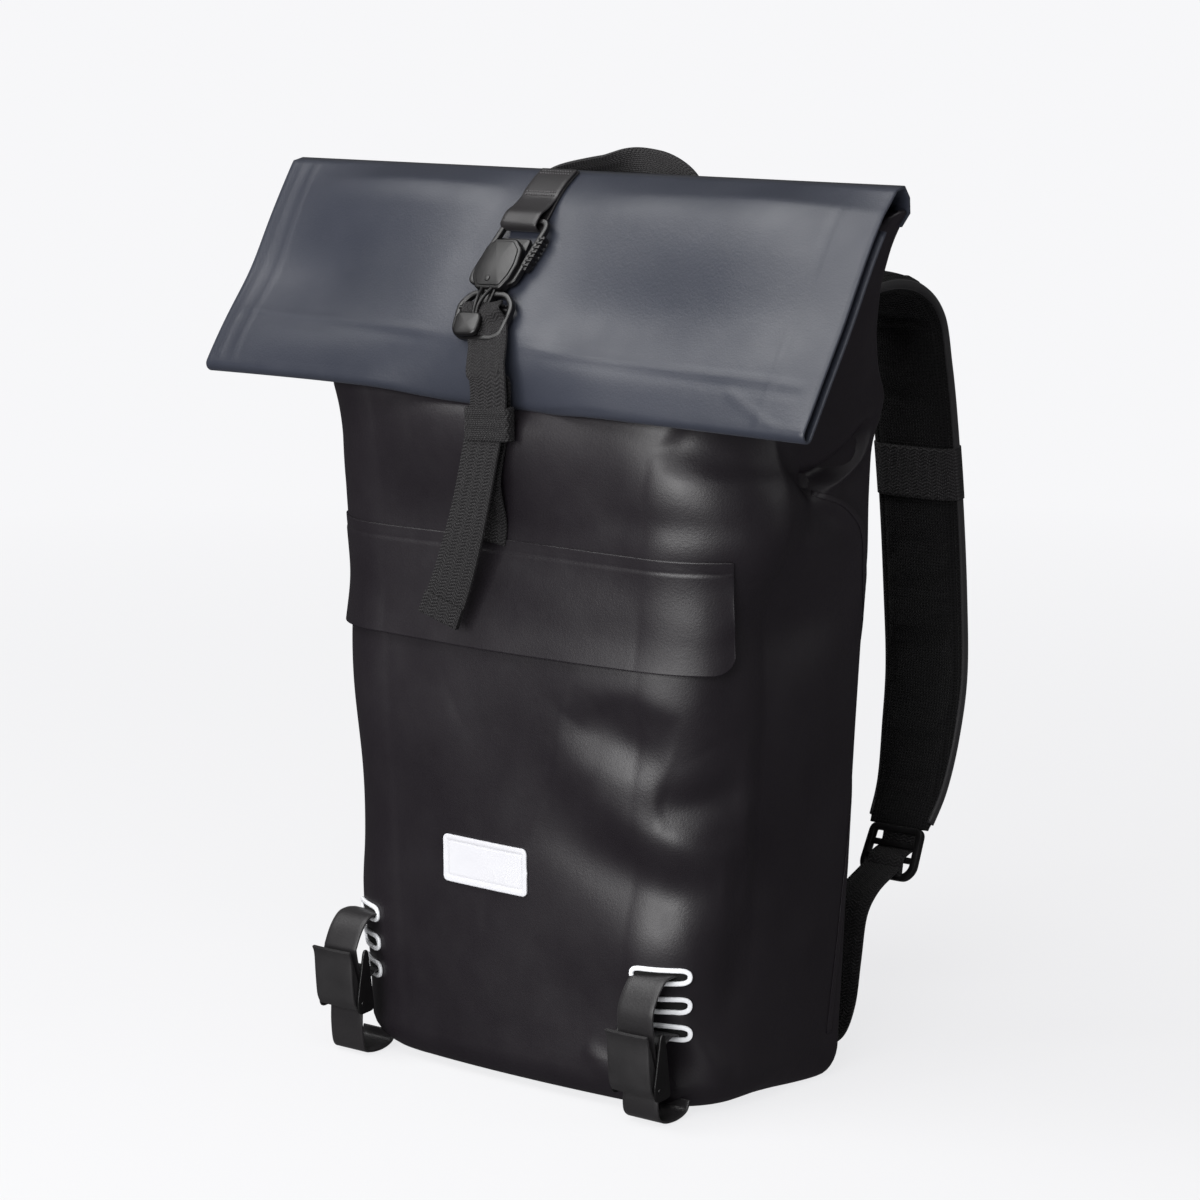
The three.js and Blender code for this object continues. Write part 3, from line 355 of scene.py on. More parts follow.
def webbing_cloth(name, dark, light, pitch):
    """Woven webbing from its own map: sine waves across for the picks, slanted to and fro, times sine waves
    along for the warp ribs. The pitch of the picks and the widths are in millimetres."""
    slant_width, slant, rib_width = 3.1, 0.55, 1.05
    material, tree, shader = nodes_of(name)
    split = node(tree, "ShaderNodeSeparateXYZ", {"Vector": map_of(tree)})
    across, along = split.outputs["X"], split.outputs["Y"]
    zigzag = maths(tree, "PINGPONG", across, slant_width)
    slanted = maths(tree, "ADD", along, maths(tree, "MULTIPLY", zigzag, slant))
    picks = maths(tree, "SINE", maths(tree, "MULTIPLY", slanted, 2 * math.pi / pitch))
    ribs = maths(tree, "SINE", maths(tree, "MULTIPLY", across, 2 * math.pi / rib_width))
    weave = maths(tree, "MULTIPLY", maths(tree, "ADD", picks, 1.2), maths(tree, "ADD", ribs, 1.6))
    height = ranged(tree, weave, 0.0, 5.5, 0.0, 1.0)
    fuzz = noise(tree, place_on(tree), 1500.0, 2.0, 0.7)
    # The colour follows the weave's height: lighter on the raised threads as painted highlight, darker
    # between them as painted shade; the fuzz varies the tone at random
    shade = maths(tree, "ADD", maths(tree, "MULTIPLY", height, 0.8), maths(tree, "MULTIPLY", fuzz, 0.3))
    feed(tree, shader, {"Base Color": tinted(tree, shade, dark, light), "Roughness": 0.58,
                        "Specular IOR Level": 0.35, "Sheen Weight": 0.04, "Sheen Roughness": 0.4})
    bumped(tree, shader, [(height, 1.0, 0.0007), (fuzz, 0.25, 0.0002)])
    return material


def moulded(name, dark, light, rough, grain=0.12):
    """Moulded plastic: a fine spark-eroded texture, rubbed a little smoother in places."""
    material, tree, shader = nodes_of(name)
    where = place_on(tree)
    cloud = noise(tree, where, 60.0, 3.0, 0.5)
    fine = noise(tree, where, 2400.0, 2.0, 0.6)
    feed(tree, shader, {"Base Color": tinted(tree, cloud, dark, light),
                        "Roughness": ranged(tree, cloud, 0.3, 0.7, rough - 0.06, rough + 0.07)})
    bumped(tree, shader, [(fine, grain, 0.00012)])
    return material


def air_mesh(name, dark, light):
    """Spacer mesh: staggered round holes, darker at their middles as painted shade, on the piece's own map in
    millimetres.
    """
    material, tree, shader = nodes_of(name)
    cells = node(tree, "ShaderNodeTexVoronoi", {"Vector": map_of(tree), "Scale": 0.55, "Randomness": 0.12})
    hole = ranged(tree, cells.outputs["Distance"], 0.16, 0.44, 0.0, 1.0)
    fuzz = noise(tree, place_on(tree), 1300.0, 2.0, 0.7)
    # Painted shade: dark at each hole's middle, lighter on the lattice between; the fuzz varies the tone at
    # random
    shade = maths(tree, "MULTIPLY", hole, ranged(tree, fuzz, 0.3, 0.7, 0.6, 1.0))
    feed(tree, shader, {"Base Color": tinted(tree, shade, dark, light), "Roughness": 0.85,
                        "Specular IOR Level": 0.2, "Sheen Weight": 0.02})
    bumped(tree, shader, [(hole, 0.9, 0.0007), (fuzz, 0.3, 0.0002)])
    return material


# Each has a dark and a light colour, then how rough it is
BLACK_COATED = coated_fabric("black_coated", (0.0066, 0.0050, 0.0070), (0.0086, 0.0066, 0.0090),
                             (0.40, 0.50), 0.0)
SLATE_COATED = coated_fabric("slate_coated", (0.019, 0.022, 0.032), (0.023, 0.026, 0.038), (0.37, 0.47), 0.02)
WELD = coated_fabric("weld", (0.0080, 0.0062, 0.0084), (0.0104, 0.0082, 0.0108), (0.36, 0.46), 0.0)
# Webbing: its light colour is painted highlight on the raised threads, its dark colour painted shade between
# them
STRAP_WEAVE = webbing_cloth("strap_weave", (0.0008, 0.0007, 0.0008), (0.020, 0.018, 0.020), 1.9)
SMOOTH_TAPE = coated_fabric("smooth_tape", (0.009, 0.008, 0.009), (0.013, 0.012, 0.013), (0.36, 0.46), 0.03)
PLASTIC = moulded("black_plastic", (0.0025, 0.0023, 0.0025), (0.0045, 0.0042, 0.0045), 0.34)
LEVER_PLASTIC = moulded("lever_plastic", (0.012, 0.0115, 0.012), (0.018, 0.017, 0.018), 0.42, 0.3)
RIM_WHITE = moulded("rim_white", (0.70, 0.71, 0.74), (0.80, 0.81, 0.83), 0.42)
# Near-black and matte: painted shade for the slot openings, laid as sheets inside the white rims
SLOT_PAINTED_SHADE = moulded("slot_painted_shade", (0.002, 0.002, 0.002), (0.003, 0.003, 0.003), 0.9)
LABEL_WHITE = moulded("label_white", (0.52, 0.52, 0.55), (0.57, 0.57, 0.59), 0.42)
# Spacer mesh: its dark colour is painted shade in the holes
PAD_MESH = air_mesh("pad_mesh", (0.0008, 0.0008, 0.0008), (0.0045, 0.0042, 0.0048))
PAD_CLOTH = coated_fabric("pad_cloth", (0.006, 0.0055, 0.0065), (0.010, 0.009, 0.0105), (0.55, 0.66), 0.05)
THREAD = moulded("thread", (0.05, 0.048, 0.05), (0.09, 0.086, 0.09), 0.6, 0.4)

# Camera, fitted to the photograph: angles, distance and aim in millimetres, and focal length in its pixels
CAMERA_AZ, CAMERA_EL, CAMERA_FAR = math.radians(40.0), math.radians(9.4), 2153.6
CAMERA_AIM = np.array([13.9, 0.0, 258.3])
FOCAL_PX, PHOTO_PX, SENSOR = 3975.0, 1200.0, 36.0
camera_data = bpy.data.cameras.new("camera")
camera_data.sensor_width = SENSOR
camera_data.lens = FOCAL_PX / PHOTO_PX * SENSOR
camera_data.clip_end = 50.0
camera = bpy.data.objects.new("camera", camera_data)
bpy.context.scene.collection.objects.link(camera)
toward = np.array([math.sin(CAMERA_AZ) * math.cos(CAMERA_EL), -math.cos(CAMERA_AZ) * math.cos(CAMERA_EL),
                   math.sin(CAMERA_EL)])
camera.location = ((CAMERA_AIM + toward * CAMERA_FAR) + np.array([0.0, SHIFT_Y, 0.0])) * MM
camera.rotation_euler = (math.pi / 2 - CAMERA_EL, 0.0, CAMERA_AZ)
bpy.context.scene.camera = camera

# Body: sections of the bag from the floor to the rim of its mouth, in millimetres
SECTIONS = np.array([
    # height, half width, front, back, bow, belly, sag
    (0.0, 131.0, -65.0, 65.0, 2.8, 0.0, 0.0),
    (22.5, 131.0, -65.0, 65.0, 3.2, 0.5, 0.0),
    (67.5, 133.2, -65.0, 65.0, 5.0, 2.5, 0.0),
    (127.5, 136.4, -65.0, 65.0, 7.0, 4.5, 0.0),
    (187.5, 139.9, -65.0, 65.0, 7.0, 5.0, 0.0),
    (244.0, 143.4, -65.0, 65.0, 5.6, 5.0, 0.0),
    (289.0, 146.1, -65.0, 65.0, 1.2, 4.0, 2.2),
    (304.0, 146.8, -65.0, 65.0, 1.2, 3.0, 4.0),
    (322.0, 147.7, -65.0, 65.0, 3.6, 1.0, 6.6),
    (345.0, 148.8, -65.0, 65.0, 7.6, -2.0, 13.0),
    (360.0, 152.1, -65.0, 65.0, 8.0, -3.5, 20.0),
    (375.0, 158.0, -65.0, 65.0, 3.6, -3.5, 22.0),
    (387.0, 158.5, -55.9, 57.2, 2.1, -2.5, 20.0),
    (410.0, 166.3, -40.3, 43.7, 0.7, -1.0, 11.0),
    (436.0, 178.8, -24.7, 30.3, 0.0, -0.5, 4.4),
    (459.0, 194.4, -10.4, 18.0, 0.0, 0.0, 0.0),
    (476.0, 209.5, 0.0, 9.0, 0.0, 0.0, 0.0),
])
SAMPLE_STEP, BLUR, BLUR_COUNT = 0.5, 6.0, 36
SAMPLES = np.linspace(0.0, RIM_HEIGHT, int(RIM_HEIGHT / SAMPLE_STEP) + 1)
SOFTEN = np.exp(-(np.arange(-BLUR_COUNT, BLUR_COUNT + 1) * SAMPLE_STEP / BLUR) ** 2)
SOFTEN /= SOFTEN.sum()


def softened(column):
    """One column of SECTIONS, read along a straight line between heights and then blurred over 6 mm. Past
    each end it goes on as its own half turn about that end."""
    line = np.interp(SAMPLES, SECTIONS[:, 0], SECTIONS[:, column])
    padded = np.concatenate([2 * line[0] - line[BLUR_COUNT:0:-1], line,
                             2 * line[-1] - line[-2:-2 - BLUR_COUNT:-1]])
    return np.convolve(padded, SOFTEN, "valid")


SOFT = [softened(column) for column in range(1, 7)]

# Nominal distance round the bag at each whole number of the way round
ROUND_AT = np.array([0.0, 90.0, 162.0, 237.0, 243.0, 370.0])
WAYS = np.arange(len(ROUND_AT))


def corner_radius(right, front):
    """A front corner's radius, and how far the bag has closed there: a straight blend from the full corner,
    where the front stands at its full depth, to a third of the mouth's depth at the rim."""
    close = np.clip((front + HALF_DEPTH) / HALF_DEPTH, 0.0, 1.0)
    return mix(np.where(right, CORNER_RIGHT, CORNER_LEFT), MOUTH_DEPTH / 3, close), close


def body_base(c, z):
    """The bag's outline before its folds, from straight stretches and quarter circles. c is the way round:
    0 the middle of the front, 1 the end of the flat front, 2 of the corner, 3 of the side, 4 of the back
    seam, and 5 the middle of the back."""
    side = np.where(c < 0, -1.0, 1.0)
    a = np.abs(c)
    width, front, back, bow, belly, sag = [np.interp(z, SAMPLES, column) for column in SOFT]
    rise = np.clip(1.0 - z / FLOOR_ROUND, 0.0, 1.0)
    # The foot is round; the 0.999 keeps its slope finite at the floor, and the back draws in less
    inset = FLOOR_INSET * (1.0 - np.sqrt(1.0 - rise ** 2 * 0.999)) * (1.0 - 0.55 * smooth(2.2, 3.0, a))
    radius, close = corner_radius(side > 0, front)
    radius = radius - 0.6 * inset
    seam = mix(SEAM_RADIUS, MOUTH_DEPTH / 3, close)
    width, front, back = width - inset, front + inset, back - inset
    t = np.clip(a, 0, 1)
    turn = np.clip(a - 1, 0, 1) * math.pi / 2
    u = np.clip(a - 2, 0, 1)
    bend = np.clip(a - 3, 0, 1) * math.pi / 2
    q = np.clip(a - 4, 0, 1)
    swell = 1.0 - (2.0 * u - 1.0) ** 2
    x = ((width - radius) * t + radius * np.sin(turn) + belly * swell + seam * (np.cos(bend) - 1)
         - (width - seam) * q)
    y = front - bow * (1 - t * t) + radius * (1 - np.cos(turn)) + (back - seam - front - radius) * u
    y = y + seam * np.sin(bend)
    return np.stack([side * x, y, z - sag * swell], -1)


# Folds that run along a line: places as [way round in mm, height], width on its left and on its right, height
RIDGES = [
    ([(104, 377), (93, 367), (88, 353), (98, 342), (122, 337), (152, 336), (184, 337)], 9.0, 24.0, 4.4),
    ([(186, 337), (205, 344), (230, 357), (250, 368)], 6.0, 6.0, 6.0),
    ([(183, 347), (203, 356), (228, 371)], 6.0, 6.0, -7.0),
    ([(187, 337), (208, 328), (230, 306), (240, 282), (243, 240)], 8.0, 8.0, 4.2),
    ([(190, 341), (173, 332), (163, 320), (156, 304), (152, 286)], 10.0, 24.0, 5.6),
    ([(62, 314), (104, 315), (138, 313)], 9.0, 9.0, -1.2),
    ([(52, 208), (62, 224), (88, 228), (114, 218), (126, 198)], 16.0, 9.0, 2.4),
    ([(46, 210), (79, 202), (108, 192)], 15.0, 15.0, -3.4),
    ([(40, 188), (79, 178), (106, 170)], 15.0, 18.0, 2.7),
    ([(104, 164), (128, 170), (156, 178)], 11.0, 11.0, -3.6),
    ([(60, 168), (96, 152), (126, 142), (152, 136)], 14.0, 18.0, 3.8),
    ([(30, 152), (72, 134), (110, 122), (140, 124)], 17.0, 17.0, -3.8),
    ([(150, 205), (152, 160), (156, 112)], 5.0, 5.0, 1.2),
    ([(118, 58), (131, 37), (147, 14)], 7.0, 12.0, 4.6),
    ([(62, 30), (86, 20)], 6.0, 6.0, 2.0),
    ([(-30, 205), (-62, 182), (-100, 172)], 14.0, 14.0, 1.4),
    ([(-120, 330), (-96, 342), (-60, 348)], 12.0, 12.0, 1.4),
    ([(-186, 337), (-205, 344), (-230, 357), (-250, 368)], 6.0, 6.0, 4.5),
    ([(-187, 337), (-208, 328), (-230, 306), (-240, 282)], 7.0, 7.0, 3.0),
    ([(-190, 341), (-172, 332), (-162, 321), (-154, 304)], 18.0, 9.0, 4.2),
    ([(-150, 120), (-130, 90), (-122, 60)], 11.0, 11.0, 1.4),
    ([(-90, 120), (-50, 100), (-10, 96)], 18.0, 18.0, 1.0),
    ([(290, 352), (330, 346), (368, 350)], 10.0, 10.0, 1.2),
    ([(-290, 352), (-330, 344), (-368, 350)], 10.0, 10.0, 1.2),
]

# Hollows and swellings: place round in mm and height, reach both ways, how far out
HOLLOWS = [
    (136, 372, 44, 24, -13.0), (116, 305, 60, 24, 4.6), (186, 341, 11, 9, -7.0), (188, 302, 34, 15, 4.2),
    (190, 262, 42, 23, -6.6), (112, 84, 44, 29, 5.6), (152, 76, 14, 28, -4.2), (116, 30, 16, 20, -5.0),
    (-186, 341, 11, 9, -5.0), (-186, 303, 34, 14, 3.0), (-192, 268, 40, 19, -4.0), (-70, 200, 60, 34, 1.6),
    (200, 160, 44, 70, -1.4), (-200, 190, 44, 80, -1.4), (-40, 60, 60, 26, 1.4), (20, 262, 60, 24, -1.2),
    (330, 180, 46, 90, 2.6), (-330, 180, 46, 90, 2.6), (300, 60, 40, 30, 1.6), (-100, 262, 40, 20, -2.0),
    (62, 236, 60, 84, 3.0), (-6, 306, 90, 22, -2.2), (-9, 380, 56, 15, -7.0),
]


def near_line(s, z, line):
    """For each place: its distance from a line of points, how far along the line the nearest point is, from
    0 to 1, and whether the place is on the left of the line."""
    best = np.full(np.shape(s), 1e9)
    share = np.zeros(np.shape(s))
    left = np.zeros(np.shape(s), bool)
    for k, ((s0, z0), (s1, z1)) in enumerate(zip(line[:-1], line[1:])):
        ds, dz = s1 - s0, z1 - z0
        t = np.clip(((s - s0) * ds + (z - z0) * dz) / (ds * ds + dz * dz), 0, 1)
        far = np.hypot(s - s0 - t * ds, z - z0 - t * dz)
        nearer = far < best
        best = np.where(nearer, far, best)
        share = np.where(nearer, (k + t) / (len(line) - 1), share)
        left = np.where(nearer, ds * (z - z0) - dz * (s - s0) > 0, left)
    return best, share, left


# Crumples as slow waves: rate, angle, phase and size, drawn once
rng = np.random.default_rng(7)
CRUMPLE = [(rng.uniform(0.015, 0.07), rng.uniform(0, math.pi), rng.uniform(0, 6.28), rng.uniform(0.1, 0.42))
           for _ in range(16)]


def relief(c, z):
    """How far the cloth stands out from its outline: ridges fall off as a bell curve from their line and
    fade at its ends, hollows are round bell curves, and slow waves crumple it all. It is calm at the floor,
    at the rim and along the back seams."""
    s = np.sign(c) * np.interp(np.abs(c), WAYS, ROUND_AT)
    total = np.zeros(np.shape(s))
    for line, left_width, right_width, height in RIDGES:
        far, share, left = near_line(s, z, line)
        fade = (4.0 * share * (1 - share) + 0.02) ** 0.6
        total += height * fade * np.exp(-(far / np.where(left, left_width, right_width)) ** 2)
    for s0, z0, reach, tall, out in HOLLOWS:
        total += out * np.exp(-((s - s0) / reach) ** 2 - ((z - z0) / tall) ** 2)
    for rate, angle, phase, size in CRUMPLE:
        total += size * np.sin(rate * (s * math.cos(angle) + z * math.sin(angle)) + phase)
    calm = smooth(0.0, 16.0, z) * (1 - smooth(420.0, 470.0, z))
    calm = calm * (1 - 0.8 * smooth(222.0, 240.0, np.abs(s)) * (1 - smooth(255.0, 290.0, np.abs(s))))
    return total * calm


def body_at(c, z, out=0.0):
    """A point out from the folded cloth, square to the bag's outline."""
    step_c, step_z = 0.01, 0.6
    z = np.clip(z, 0.0, RIM_HEIGHT)
    here = body_base(c, z)
    across = body_base(c + step_c, z) - body_base(c - step_c, z)
    up = body_base(c, np.minimum(z + step_z, RIM_HEIGHT)) - body_base(c, np.maximum(z - step_z, 0.0))
    square = unit(np.cross(across, up))
    return here + square * (relief(c, z) + out)[..., None]


def way_round(along, z):
    """The way round for a distance along the front from its middle, past the corner too: straight shares of
    the flat front, of the corner's arc, and of 80 mm of the side."""
    width, front = np.interp(z, SAMPLES, SOFT[0]), np.interp(z, SAMPLES, SOFT[1])
    radius, _ = corner_radius(along > 0, front)
    flat = width - radius
    a = np.abs(along)
    arc = radius * math.pi / 2
    past = np.where(a < flat + arc, 1 + (a - flat) / arc, 2 + (a - flat - arc) / 80.0)
    return np.sign(along) * np.where(a < flat, a / flat, past)


def build_body():
    """The bag's cloth: a fan over the floor, the outside up to the rim, and the inside part of the way
    down."""
    half = [np.linspace(k, k + 1, steps, endpoint=False) for k, steps in enumerate((40, 36, 40, 5))]
    half = np.concatenate(half + [np.linspace(4, 5, 26)])
    ways = np.concatenate([half[:-1], -half[:0:-1]])
    foot = FLOOR_ROUND * (1 - np.cos(np.linspace(0, math.pi / 2, 9)))
    c, z = np.meshgrid(ways, np.concatenate([foot, np.linspace(25.5, RIM_HEIGHT, 182)]))
    outside = body_at(c, z)
    floor_shares = np.linspace(0.0, 1.0, 9)[:-1]
    middle = outside[0].mean(axis=0)
    floor_rows = np.stack([mix(middle, outside[0], share) for share in floor_shares])
    floor_rows[..., 2] += 0.4 * (1 - floor_shares[:, None] ** 2)
    inner_c, inner_z = np.meshgrid(ways, np.linspace(RIM_HEIGHT, 30.0, 30))
    inside = body_at(inner_c, inner_z, -WALL)
    inside_floor = np.stack([mix(inside[-1], inside[-1].mean(axis=0), share) for share in (0.12, 0.5, 1.0)])
    inside_floor[..., 2] = np.array([10.0, 3.0, 2.6])[:, None]
    grid = np.concatenate([floor_rows, outside, inside, inside_floor])
    piece = put("bag_body", [(grid, False, True)], BLACK_COATED)
    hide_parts("body_shell")


# Places along a side weld: way round in mm and height
SIDE_WELD = np.array([(190, 338), (212, 326), (231, 298), (240, 262), (244, 232), (246, 194), (241, 150),
                      (232, 70), (230, 26)], float)


def build_side_weld(hand, sign, width=3.6, thick=0.4, lift=0.1):
    """A welded tape on the cloth: flat lanes beside a curve through its places, then laid on the bag."""
    curve = smooth_path(np.concatenate([SIDE_WELD * (sign, 1), np.zeros((len(SIDE_WELD), 1))], 1), 80)[:, :2]
    along = unit(np.gradient(curve, axis=0))
    across = np.stack([-along[:, 1], along[:, 0]], -1)
    lanes = np.linspace(-width / 2, width / 2, 5)
    spots = curve[:, None] + across[:, None] * lanes[None, :, None]
    c = np.sign(spots[..., 0]) * np.interp(np.abs(spots[..., 0]), ROUND_AT, WAYS)
    points = body_at(c, spots[..., 1], lift + thick / 2)
    piece = put(f"side_weld_{hand}", [(slab(points, thick), False, True)], WELD)


build_body()
for hand, sign in (("right", 1), ("left", -1)):
    build_side_weld(hand, sign)

# Roll

def on_slope(x, down, out):
    """A place over the roll's straight slope: down along it from the crest, and out square to it."""
    reach, drop = ROLL_REACH / SLOPE, ROLL_DROP / SLOPE
    return np.stack(np.broadcast_arrays(x, -CREST_BACK - down * reach - out * drop,
                                        TOP_HEIGHT - down * drop + out * reach), -1)


def cloth_lift(x, down):
    """How far the roll swells out over its slope: a parabola across it, rising by half a parabola under the
    crest and falling by another at the foot, where a bell curve pinches it in behind the closure strap."""
    rise = 1 - np.maximum(0.0, 1 - down / BULGE_TOP) ** 2
    end = SLOPE - 38.0
    fall = np.clip((down - end) / (SLOPE - end), 0, 1) ** 2
    across = 1 - (2 * x / FLAT_WIDTH) ** 2
    near = np.exp(-((x - CLOSURE_X) / PINCH_REACH) ** 4)
    return ROLL_BULGE * across * rise * (1 - fall) - ROLL_PINCH * near * fall


def on_cloth(x, down, out):
    """A point over the roll's cloth at a stand-off square to it."""
    step = 0.5
    x, down, out = np.broadcast_arrays(np.asarray(x, float), np.asarray(down, float), np.asarray(out, float))
    before = on_slope(x, down - step, cloth_lift(x, down - step))
    after = on_slope(x, down + step, cloth_lift(x, down + step))
    square = np.cross(unit(after - before), np.array([1.0, 0.0, 0.0]))
    return (before + after) / 2 + square * out[..., None]


# The roll's folds and seams, in millimetres over its slope
ROLL_FOLDS = [
    # x, down, reach across, reach down, out
    (152, 32, 62, 42, 8.0), (66, 88, 66, 30, -6.0), (-112, 18, 70, 26, 6.0), (-162, 74, 52, 27, -6.4),
    (-58, 74, 34, 36, 2.0), (174, 104, 40, 22, 1.2), (60, 22, 34, 20, 1.6), (-120, 122, 60, 12, 1.0),
    (40, 124, 70, 12, 0.7), (-190, 24, 26, 30, -1.8),
]
ROLL_LINES = [
    # line of x and down, width, out
    ([(-197, 101), (19, 111), (133, 113), (199, 113)], 1.9, 0.42),
    ([(-198, 106), (19, 116), (133, 118), (199, 118)], 2.4, -0.22),
    ([(-190, 2), (-191, 132)], 1.6, 0.4),
    ([(-201, 2), (-202, 132)], 1.6, 0.4),
    ([(187, 2), (181, 138)], 1.6, 0.45),
    ([(160, 122), (176, 129), (192, 137)], 2.6, 0.4),
]


def roll_relief(x, down):
    """How far the roll's cloth stands out from its swelling: round bell curves for the folds and bell
    curves off lines for the seams. All of it is flat under the closure strap and at the crest and the
    foot."""
    held = 1 - np.exp(-((x - CLOSURE_X) / 34.0) ** 4)
    edge = np.clip(np.minimum(down / 18.0, (SLOPE - down) / 10.0), 0, 1)
    total = np.zeros(np.shape(x))
    for x0, down0, reach, tall, out in ROLL_FOLDS:
        total += out * np.exp(-((x - x0) / reach) ** 2 - ((down - down0) / tall) ** 2)
    fine = np.zeros(np.shape(x))
    for line, width, out in ROLL_LINES:
        far, _, _ = near_line(x, down, line)
        fine += out * np.exp(-(far / width) ** 2)
    return held * edge * total + np.clip(edge * 2, 0, 1) * fine * held


def roll_rows(across, places):
    """Rows over the whole roll from places [down, out, 1 with folds or 0 without]. Each runs further down
    on the right, in proportion to down, as the roll is wound a little askew."""
    skew = 1 + ROLL_SKEW / SLOPE * across / (FLAT_WIDTH / 2)
    return [on_cloth(across, down * skew, out + folds * roll_relief(across, np.full_like(across, down)))
            for down, out, folds in places]


def build_roll():
    """The slate cloth in side view: up from the rim, over the crest, down the slope, round its lower edge
    along a half circle and up behind; and a second, flatter turn inside it that shows at the ends."""
    cloth, lining, radius = 1.7, 1.5, 3.4
    across = np.linspace(-FLAT_WIDTH / 2, FLAT_WIDTH / 2, 170)
    foot = []
    for y, z in [(MOUTH_DEPTH + cloth / 2 + 0.3, 468.0), (MOUTH_DEPTH + cloth / 2 + 0.2, 475.0), (7.6, 483.0),
                 (3.6, 488.6)]:
        narrow = min(1.0, 0.962 + 0.038 * (z - 466.0) / 11.0)
        foot.append(np.stack([across * narrow, np.full_like(across, y), np.full_like(across, z)], -1))
    mid = -cloth / 2
    places = [(d, mid, 1) for d in np.linspace(3, SLOPE - 4.6, 64)]
    places += [(SLOPE - 4.2 + radius * math.sin(turn), mid - radius + radius * math.cos(turn), 0)
               for turn in np.linspace(0, math.pi, 11)[1:]]
    places += [(d, mid - 2 * radius, 1) for d in np.linspace(SLOPE - 12, 24, 30)]
    outer = np.stack(foot + roll_rows(across, places))
    places = [(d, mid - 2.3, 1) for d in np.linspace(30, SLOPE - 12, 30)]
    places += [(SLOPE - 11 + math.sin(turn), mid - 3.4 + 1.1 * math.cos(turn), 0)
               for turn in np.linspace(0, math.pi, 6)[1:-1]]
    places += [(d, mid - 4.5, 1) for d in np.linspace(SLOPE - 12, 40, 24)]
    inner = np.stack(roll_rows(np.linspace(-FLAT_WIDTH / 2 + 5, FLAT_WIDTH / 2 - 5, 120), places))
    piece = put("slate_roll", [(slab(outer, cloth), False, True)], SLATE_COATED)
    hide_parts("rolltop")
    piece = put("roll_inner_turn", [(slab(inner, lining), False, True)], BLACK_COATED)


build_roll()

# Pocket flap and label

def patch_on_body(along0, top, width, tall, top_corner, bottom_corner, thick, outs, cols, rows):
    """A cloth patch on the bag: a rectangle whose corners are quarter circles, standing off by outs(share
    down, share across). Its columns crowd towards both ends by the power 1.5."""
    half = width / 2
    across = np.linspace(-1, 1, cols)
    across = np.sign(across) * (1 - (1 - np.abs(across)) ** 1.5) * half
    drop = np.linspace(0, 1, rows)
    a, d = np.meshgrid(across, drop)
    from_end = half - np.abs(a)

    def bite(corner):
        """How far a quarter-circle corner cuts in at each column."""
        share = np.clip(1 - from_end / corner, 0, 1)
        return corner * (1 - np.sqrt(1 - share ** 2))

    z = mix(top - bite(top_corner), top - tall + bite(bottom_corner), d)
    return body_at(way_round(along0 + a, z), z, outs(d, a / half) + thick / 2)


# The pocket flap: height of its top, length along the front, and depth
POCKET = dict(top=298.0, span=290.0, tall=59.0)


def build_pocket():
    """The pocket's flap: it lifts towards its foot by a square and at its right end by steps, with a step
    down behind its hem, a crease there and a shallow swelling as bell curves."""
    thick = 1.1

    def outs(d, a):
        """The flap's stand-off at a share down and a share across."""
        lift = 2.4 * d ** 2 + 5.4 * smooth(0.66, 1.0, a) * smooth(0.0, 0.7, d)
        step = 0.35 * smooth(5.4 / POCKET["tall"], 6.8 / POCKET["tall"], d)
        crease = -0.35 * np.exp(-((d * POCKET["tall"] - 6.6) / 0.8) ** 2)
        roll = 1.5 * np.exp(-((d - 0.5) / 0.25) ** 2) * np.exp(-((a - 0.45) / 0.4) ** 2)
        return -0.15 + lift + step + crease + roll

    points = patch_on_body(0.0, POCKET["top"], POCKET["span"], POCKET["tall"], 1.0, 11.0, thick, outs,
                           170, 90)
    piece = put("pocket_cover", [(slab(points, thick), False, True)], BLACK_COATED)
    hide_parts("pocket_flap")


def build_label():
    """The bare label: a plate with a raised rim, from a step down inside the rim and a bell curve as its
    groove."""
    wide, tall, thick = 61.0, 26.0, 1.2

    def outs(d, a):
        """The label's stand-off at a share down and a share across."""
        edge = np.minimum((1 - np.abs(a)) * (wide / 2), np.minimum(d, 1 - d) * tall)
        return 0.3 - 0.45 * smooth(2.6, 3.4, edge) - 0.5 * np.exp(-((edge - 3.2) / 0.55) ** 2)

    points = patch_on_body(-7.0, 134.0, wide, tall, 3.0, 3.0, thick, outs, 90, 44)
    piece = put("label_plate", [(slab(points, thick), False, True)], LABEL_WHITE)
    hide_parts("label_patch")


build_pocket()
build_label()

# Closure strap and its buckle: the direction square to the roll's slope
SLOPE_OUT = np.array([0.0, -ROLL_DROP / SLOPE, ROLL_REACH / SLOPE])


def rigid(points):
    """Places given as [x, down, out] over the roll's slope, out from the top of its swelling."""
    points = np.asarray(points, float)
    return on_slope(points[..., 0], points[..., 1], ROLL_BULGE + points[..., 2])


def rounded_outline(corners, radius, steps):
    """A polygon's outline with each corner turned along a quadratic curve of the given reach."""
    corners = np.asarray(corners, float)
    before = np.roll(corners, 1, 0) - corners
    after = np.roll(corners, -1, 0) - corners
    start = corners + unit(before) * np.minimum(radius, np.linalg.norm(before, axis=1) * 0.45)[:, None]
    stop = corners + unit(after) * np.minimum(radius, np.linalg.norm(after, axis=1) * 0.45)[:, None]
    t = np.linspace(0, 1, steps)[None, :, None]
    curve = (1 - t) ** 2 * start[:, None] + 2 * t * (1 - t) * corners[:, None] + t ** 2 * stop[:, None]
    return curve.reshape(-1, corners.shape[1])


def evened(outline, count):
    """A closed outline again, with its points spaced evenly."""
    shut = np.concatenate([outline, outline[:1]])
    length = run_of(shut)
    want = np.linspace(0, length[-1], count + 1)[:-1]
    return np.stack([np.interp(want, length, column) for column in shut.T], -1)


